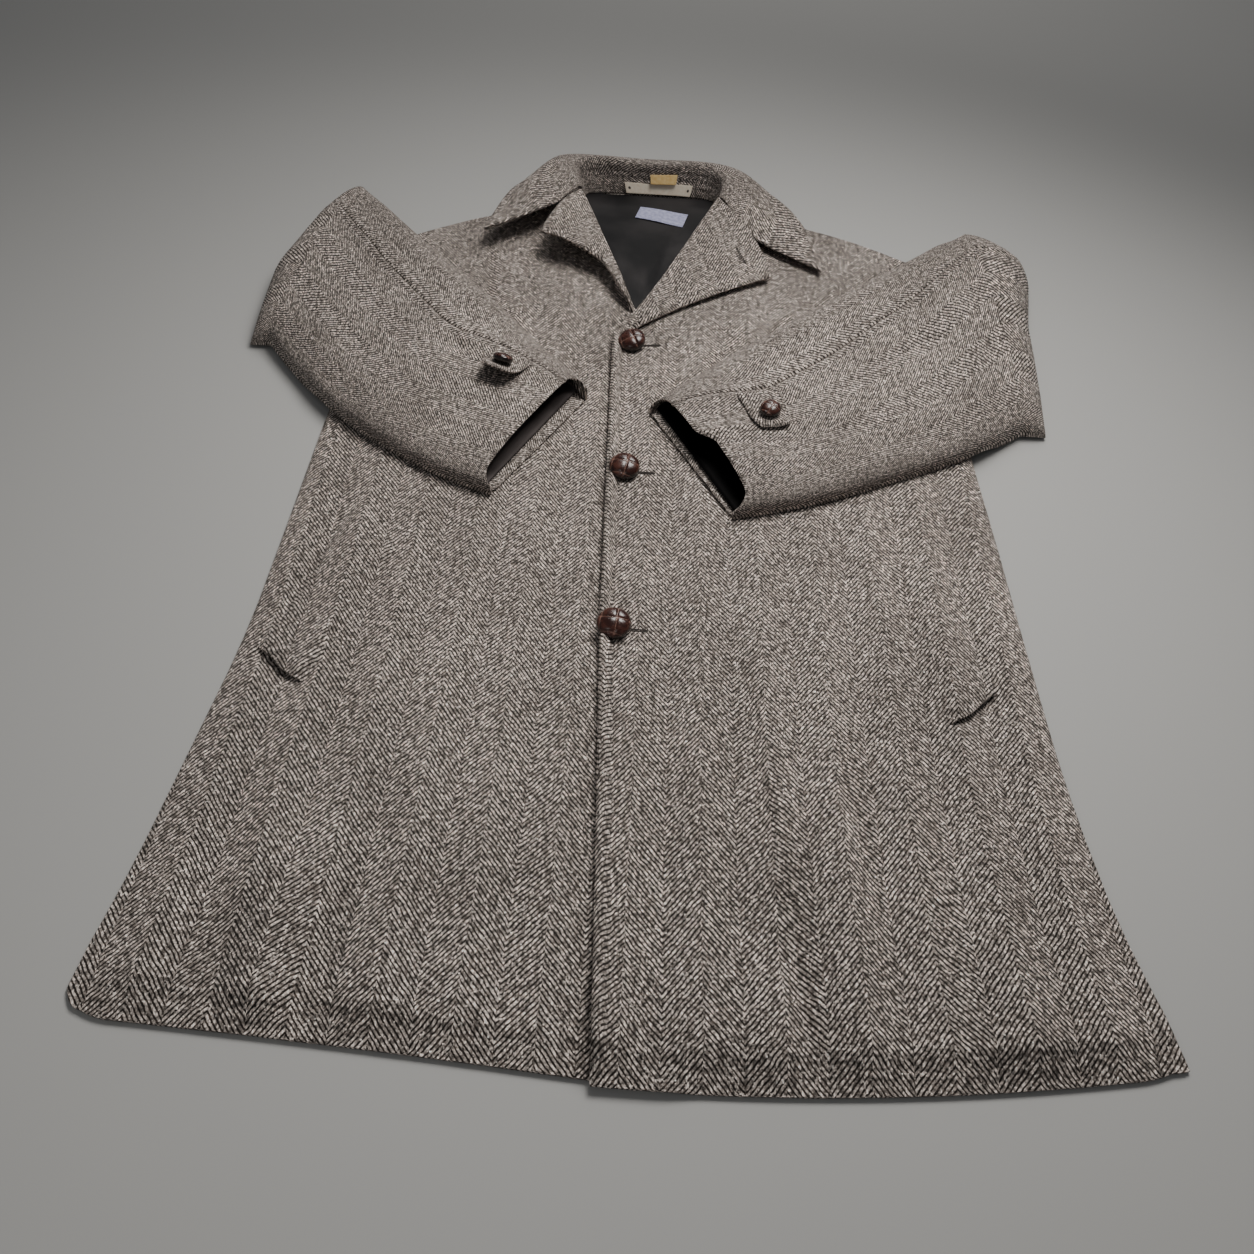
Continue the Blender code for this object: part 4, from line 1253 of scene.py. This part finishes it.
for name in SIDES:
    def lining_lay(s, t, name=name):
        turn = 2.0 * math.pi * t
        a = behind_mouth(name, lerp(LINING_FROM[name], LINING_TO, sleeve_sign(name, s)), turn)
        return sleeve_point(name, a, turn, LINING_INSET, LINING_POWER)

    def lining_grain(s, t):
        return t * 0.31, s * 0.12

    def tab_lay(s, t, name=name):
        return tab_place(name, 1.0 - s, t)

    def tab_grain(s, t):
        return s * TAB_SIZE[0] * MM, t * TAB_SIZE[1] * MM

    lay_cloth("shaded_cuff_satin_" + name, "cuff_lining_" + name, (24, 64), lining_lay, lining_grain, (340.0, 130.0),
              "folded", ["sleeve_%s_under" % name], LINING_WALL, LINING_FINISH[name], closed=True,
              soft_edge=0.0)
    lay_cloth("cuff_tab_cloth_" + name, "cuff_tab_" + name, (22, 32), tab_lay, tab_grain, (48.0, 70.0),
              "laid", ["sleeve_%s_back" % name])

# %% [markdown]
# ## Pocket welts
#
# Each pocket is covered by a slanted strip of the same tweed, sewn on with its bands in line with the
# front. Its lower end gapes a little and shows a dark slit.

# %% Welts
WELTS = {
    "left": ((280.0, 318.0), (235.0, 282.0), (205.0, 446.0), (246.0, 478.0)),
    "right": ((-300.0, 326.0), (-255.0, 290.0), (-207.0, 438.0), (-250.0, 500.0)),
}
WELT_WALL = 2.0
WELT_LIFT = 3.4
WELT_CLEARANCE = 0.5
WELT_SUNK = -2.35
WELT_SINKS_OVER = 9.0
WELT_SIZE = (50.0, 180.0)

for name, side in SIDES.items():
    def welt_lay(s, t, side=side, corners=WELTS[name]):
        low_out, low_in, high_in, high_out = corners
        s = outward(side, s)
        x, y = mix(mix(low_in, high_in, t), mix(low_out, high_out, t), s)
        lip = (1.0 - t) ** 12
        x += side * 2.0 * lip * math.sin(6.0 * s)
        y -= 3.0 * lip * math.sin(math.pi * s)
        sewn = min(s * WELT_SIZE[0], (1.0 - s) * WELT_SIZE[0], (1.0 - t) * WELT_SIZE[1])
        lift = WELT_LIFT * math.sin(math.pi * s) ** 0.5 * (1.0 - t) ** 4
        sink = WELT_SUNK * (1.0 - ease(sewn / WELT_SINKS_OVER))
        return x, y, front_surface(side, x, y) + WELT_WALL + WELT_CLEARANCE + lift + sink

    def welt_grain(s, t, lay=welt_lay, side=side):
        x, y, z = lay(s, t)
        return body_grain(side, x, y)

    lay_cloth("welt_" + name, "pocket_welt_" + name, (26, 72), welt_lay, welt_grain, (62.0, 200.0), "laid",
              ["front_" + name], WELT_WALL)

# %% [markdown]
# ## Inside the neck
#
# Black satin lines the back of the neck. On the stand sits a pinkish tape that the coat can hang by and
# a small gold tab, and a tilted pale label is sewn to the lining. All are left bare.

# %% Neck lining and trims
TRIM_WALL = 0.8
NECK_LINING_FOOT = 812.0
NECK_LINING_HEAD = 1038.0
NECK_LINING_TUCK = 9.0
LINING_TOP = WALL + GAP + LINING_WALL
LABEL_CENTRE = (1.0, 994.0)
LABEL_SIZE = (56.0, 28.0)
LABEL_TURN = math.radians(-13.0)
LABEL_LEFT_END = 0.85
STRIP_SPAN = (-46.0, 31.0)
STRIP_RISE = (0.06, 0.34)
SIZE_TAB_SPAN = (-16.0, 10.0)
SIZE_TAB_RISE = (0.38, 0.63)
TRIM_PROUD = 1.3
TRIM_LEAN = 5.0
STAND_STATIONS = (
    # x, share of the way round the collar
    (-46.0, 0.43),
    (34.0, 0.64),
)


def neck_lining_lay(s, t):
    y = lerp(NECK_LINING_FOOT, NECK_LINING_HEAD, t)
    left = read(UPPER_EDGE, y) + NECK_LINING_TUCK
    right = read(UNDER_EDGE, y) - NECK_LINING_TUCK
    x = lerp(right, left, s)
    middle = ease(s * 5.0) * ease((1.0 - s) * 5.0)
    fold = 1.8 * bell(x - 6.0 - 0.12 * (y - 900.0), 8.0) + 1.2 * bell(x + 48.0, 12.0)
    return x, y, LINING_TOP + middle * (fold * ease((980.0 - y) / 60.0) + 0.5 * ripple(x, y, 30.0, 1.0) + 0.3)


def label_lay(s, t):
    across = (s - 0.5) * LABEL_SIZE[0]
    up = (t - 0.5) * LABEL_SIZE[1] * lerp(LABEL_LEFT_END, 1.0, s)
    x = LABEL_CENTRE[0] + across * math.cos(LABEL_TURN) - up * math.sin(LABEL_TURN)
    y = LABEL_CENTRE[1] + across * math.sin(LABEL_TURN) + up * math.cos(LABEL_TURN)
    return x, y, LINING_TOP + GAP + TRIM_WALL + 0.5 + 0.5 * math.sin(5.0 * s)


def on_stand(span, rise):
    def lay(s, t):
        station = read(STAND_STATIONS, lerp(span[0], span[1], s))
        x, y, z = collar_point(station, STAND_SHARE * lerp(rise[0], rise[1], t))
        return x, y - lerp(TRIM_LEAN, TRIM_PROUD, t), z
    return lay


def trim_grain(width, depth):
    return lambda s, t: (s * width * MM, t * depth * MM)


lay_cloth("neck_satin", "neck_lining", (60, 72), neck_lining_lay, trim_grain(160.0, 226.0), (180.0, 228.0),
          "laid", ["back"], LINING_WALL, SATIN, soft_edge=0.0)
lay_cloth("label_patch", "neck_label", (24, 12), label_lay, trim_grain(*LABEL_SIZE), (57.0, 29.0),
          "laid", ["neck_lining"], TRIM_WALL, LABEL)
lay_cloth("hanger_tape", "hanger_strip", (32, 8), on_stand(STRIP_SPAN, STRIP_RISE), trim_grain(78.0, 12.0),
          (85.0, 14.0), "laid", ["collar"], TRIM_WALL, TAPE)
lay_cloth("gold_tab", "size_tab", (16, 8), on_stand(SIZE_TAB_SPAN, SIZE_TAB_RISE), trim_grain(24.0, 10.0),
          (32.0, 12.0), "laid", ["collar"], TRIM_WALL, GOLD)

# %% [markdown]
# ## Woven leather buttons
#
# Football buttons are knotted from leather strips, so the dome shows a basket of broad strips that pass
# over and under. A sphere is pressed into the dome and the strips are raised on it; the hollows between
# them keep their depth as a value that pales the leather there, partly as wear and partly as a painted
# highlight along the strip edges, and a second value paints shade round the foot.

# %% Buttons
FRONT_BUTTON = 28.0
CUFF_BUTTON = 19.0
BUTTON_RISE = 1.6
BUTTON_HEIGHT_SHARE = 0.44
FRONT_BUTTON_X = -22.0
FRONT_BUTTON_YS = (742.0, 552.0, 364.0)
STRIP_SHARE = 0.92
STRIP_SHIFT = 0.33
STRIP_DEPTH_SHARE = 0.1
BUTTON_FOOT_SHARE = 0.34
BUTTON_DOME_SHARE = 0.62
BUTTON_BLUNT = 0.85


def make_button(name, node, diameter, surface, spot, spin, tip):
    s, t = spot
    step = 0.05
    ahead = Vector(surface(s + step, t)) - Vector(surface(s - step, t))
    aside = Vector(surface(s, t + step)) - Vector(surface(s, t - step))
    up = ahead.cross(aside).normalized()
    up *= math.copysign(1.0, up.z)
    up = (up + Vector(tip)).normalized()
    foot = Vector(surface(s, t)) + BUTTON_RISE * up
    stance = up.to_track_quat("Z", "Y").to_matrix()
    radius = diameter / 2.0
    height = BUTTON_HEIGHT_SHARE * diameter
    strip_width = STRIP_SHARE * radius
    bm = bmesh.new()
    bmesh.ops.create_uvsphere(bm, u_segments=96, v_segments=56, radius=1.0)
    gap_wear_and_highlight = bm.verts.layers.float.new("gap_wear_and_highlight")
    foot_shade = bm.verts.layers.float.new("foot")
    for vert in bm.verts:
        x, y, z = vert.co
        p = (x * math.cos(spin) - y * math.sin(spin)) * radius / strip_width + STRIP_SHIFT
        q = (x * math.sin(spin) + y * math.cos(spin)) * radius / strip_width + STRIP_SHIFT
        i, j = round(p), round(q)
        p_off, q_off = abs(p - i) * 2.0, abs(q - j) * 2.0
        side_off, end_off = (q_off, p_off) if (i + j) % 2 == 0 else (p_off, q_off)
        relief = (1.0 - side_off ** 6) * (1.0 - 0.5 * end_off ** 4)
        top = ease(z / 0.3)
        # Pale hollow lines: partly wear, partly a painted highlight along the strip edges.
        vert[gap_wear_and_highlight] = top * max(1.0 - 2.0 * relief, 0.0)
        # Painted shade round the foot of the dome.
        vert[foot_shade] = 1.0 - ease((z - 0.05) / 0.4)
        if z > 0:
            rise = height * (BUTTON_FOOT_SHARE + BUTTON_DOME_SHARE * z ** BUTTON_BLUNT)
        else:
            rise = height * BUTTON_FOOT_SHARE * (1.0 + max(z * 1.6, -1.0))
        rise += top * STRIP_DEPTH_SHARE * radius * (relief - 0.75)
        local = Vector((x * radius, y * radius, rise))
        vert.co = to_world(foot + stance @ local)
    make_piece(bm, name, LEATHER, node)


FRONT_BUTTON_SPINS = (0.45, 0.2, 0.12)
FRONT_BUTTON_TIPS = ((-0.22, -0.18, 0.0), (-0.05, -0.2, 0.0), (-0.05, -0.22, 0.0))
for number, button_y in enumerate(FRONT_BUTTON_YS, start=1):
    def under_button(s, t, button_y=button_y):
        x = FRONT_BUTTON_X + s * FRONT_BUTTON
        y = button_y + t * FRONT_BUTTON
        return x, y, front_height(SIDES["left"], x, y)

    make_button("leather_button_%d" % number, "front_button_%d" % number, FRONT_BUTTON, under_button,
                (0.0, 0.0), FRONT_BUTTON_SPINS[number - 1], FRONT_BUTTON_TIPS[number - 1])
CUFF_BUTTON_TIPS = {"left": (0.0, -0.15, 0.0), "right": (0.0, 0.35, 0.0)}
for name in SIDES:
    make_button("cuff_leather_button_" + name, "cuff_button_" + name, CUFF_BUTTON, partial(tab_place, name),
                (0.5, 0.62), 0.4, CUFF_BUTTON_TIPS[name])

# %% [markdown]
# ## Buttonholes
#
# A worked buttonhole is a slit bound with thread. Each one is a short bar of dark thread that lies on
# the cloth beside its button; the lapel has one that was never used.

# %% Bound slits
SLIT_WIDTH = 3.2
LAPEL_SLIT_WIDTH = 2.8
SLIT_FROM_BUTTON = ((9.0, -1.0), (28.0, -2.5))
LAPEL_SLIT = ((83.0, 902.0), (93.0, 874.0))
THREAD_WALL = 0.0006


def make_slit(name, start, end, surface, width):
    bm = bmesh.new()
    bmesh.ops.create_grid(bm, x_segments=24, y_segments=8, size=0.5)
    map_cloth(bm, lambda x, y, z: ((x + 0.5) * 0.02, y * 0.003))
    run = Vector(end) - Vector(start)
    side = Vector((-run.y, run.x)).normalized()
    for vert in bm.verts:
        s, across = vert.co.x + 0.5, vert.co.y * 2.0
        taper = math.sqrt(max(1.0 - (2.0 * s - 1.0) ** 8, 0.0))
        spot = Vector(start) + run * s + side * across * width / 2.0 * taper
        lip = 0.6 * bell(abs(across) - 0.62, 0.25) - 0.5 * bell(across, 0.22)
        z = surface(spot.x, spot.y) + 0.35 + lip * taper - 0.9 * abs(across) ** 6
        vert.co = to_world((spot.x, spot.y, z))
    slit = make_piece(bm, name, THREAD)
    thick = slit.modifiers.new("thread", "SOLIDIFY")
    thick.thickness = THREAD_WALL
    thick.offset = -1.0


over_front = partial(front_surface, SIDES["left"])
for number, button_y in enumerate(FRONT_BUTTON_YS, start=1):
    start, end = ((FRONT_BUTTON_X + x, button_y + y) for x, y in SLIT_FROM_BUTTON)
    make_slit("buttonhole_%d" % number, start, end, over_front, SLIT_WIDTH)
lapel_mesh = lapels["left"].data
lapel_face = BVHTree.FromPolygons([vert.co for vert in lapel_mesh.vertices],
                                  [face.vertices for face in lapel_mesh.polygons])


def over_lapel(x, y):
    spot = lapel_face.ray_cast(to_world((x, y, 100.0)), Vector((0.0, 0.0, -1.0)))[0]
    return spot.z / MM


make_slit("lapel_buttonhole", *LAPEL_SLIT, over_lapel, LAPEL_SLIT_WIDTH)

# %% [markdown]
# ## Floor and light
#
# The coat lies on a plain pale floor. One soft lamp hangs about a metre over the chest and points at the
# hem: shadows fall towards the hem under the lapels and cuffs, and the corners stay darker. A wide one
# lights the floor behind the collar, and a small one in front gives the buttons a glint.

# %% Floor, lamps and world
bm = bmesh.new()
bmesh.ops.create_grid(bm, x_segments=1, y_segments=1, size=12.0)
floor_mesh = bpy.data.meshes.new("floor")
bm.to_mesh(floor_mesh)
bm.free()
FLOOR, tree, shader = new_finish("floor")
plug(tree, shader, {"Base Color": (0.47, 0.47, 0.46, 1.0), "Roughness": 0.9})
floor_mesh.materials.append(FLOOR)
floor = bpy.data.objects.new("floor", floor_mesh)
floor.location.z = -0.0004
bpy.context.scene.collection.objects.link(floor)


def add_lamp(name, place, aim, size, spread_angle, power):
    lamp = bpy.data.lights.new(name, "AREA")
    lamp.size = size
    lamp.energy = power
    lamp.spread = math.radians(spread_angle)
    lamp.color = (1.0, 0.97, 0.93)
    holder = bpy.data.objects.new(name, lamp)
    holder.location = place
    holder.rotation_euler = (Vector(aim) - Vector(place)).to_track_quat("-Z", "Y").to_euler()
    bpy.context.scene.collection.objects.link(holder)


LAMPS = (
    # name, place, aim, size, spread angle, power
    ("key", (0.29, 0.42, 1.06), (-0.05, -0.36, 0.0), 0.6, 112.0, 6.2),
    ("floor", (0.15, 1.6, 1.4), (0.15, 1.2, 0.0), 0.9, 160.0, 6.0),
    ("glint", (-0.5, -1.0, 0.8), (0.0, -0.1, 0.0), 0.25, 180.0, 0.7),
)
for row in LAMPS:
    add_lamp(*row)
world = bpy.data.worlds.new("studio")
world.use_nodes = True
tree = world.node_tree
plug(tree, tree.nodes["Background"], {"Color": (0.9, 0.92, 0.95, 1.0), "Strength": 0.125})
bpy.context.scene.world = world
print("floor and lamps ready")
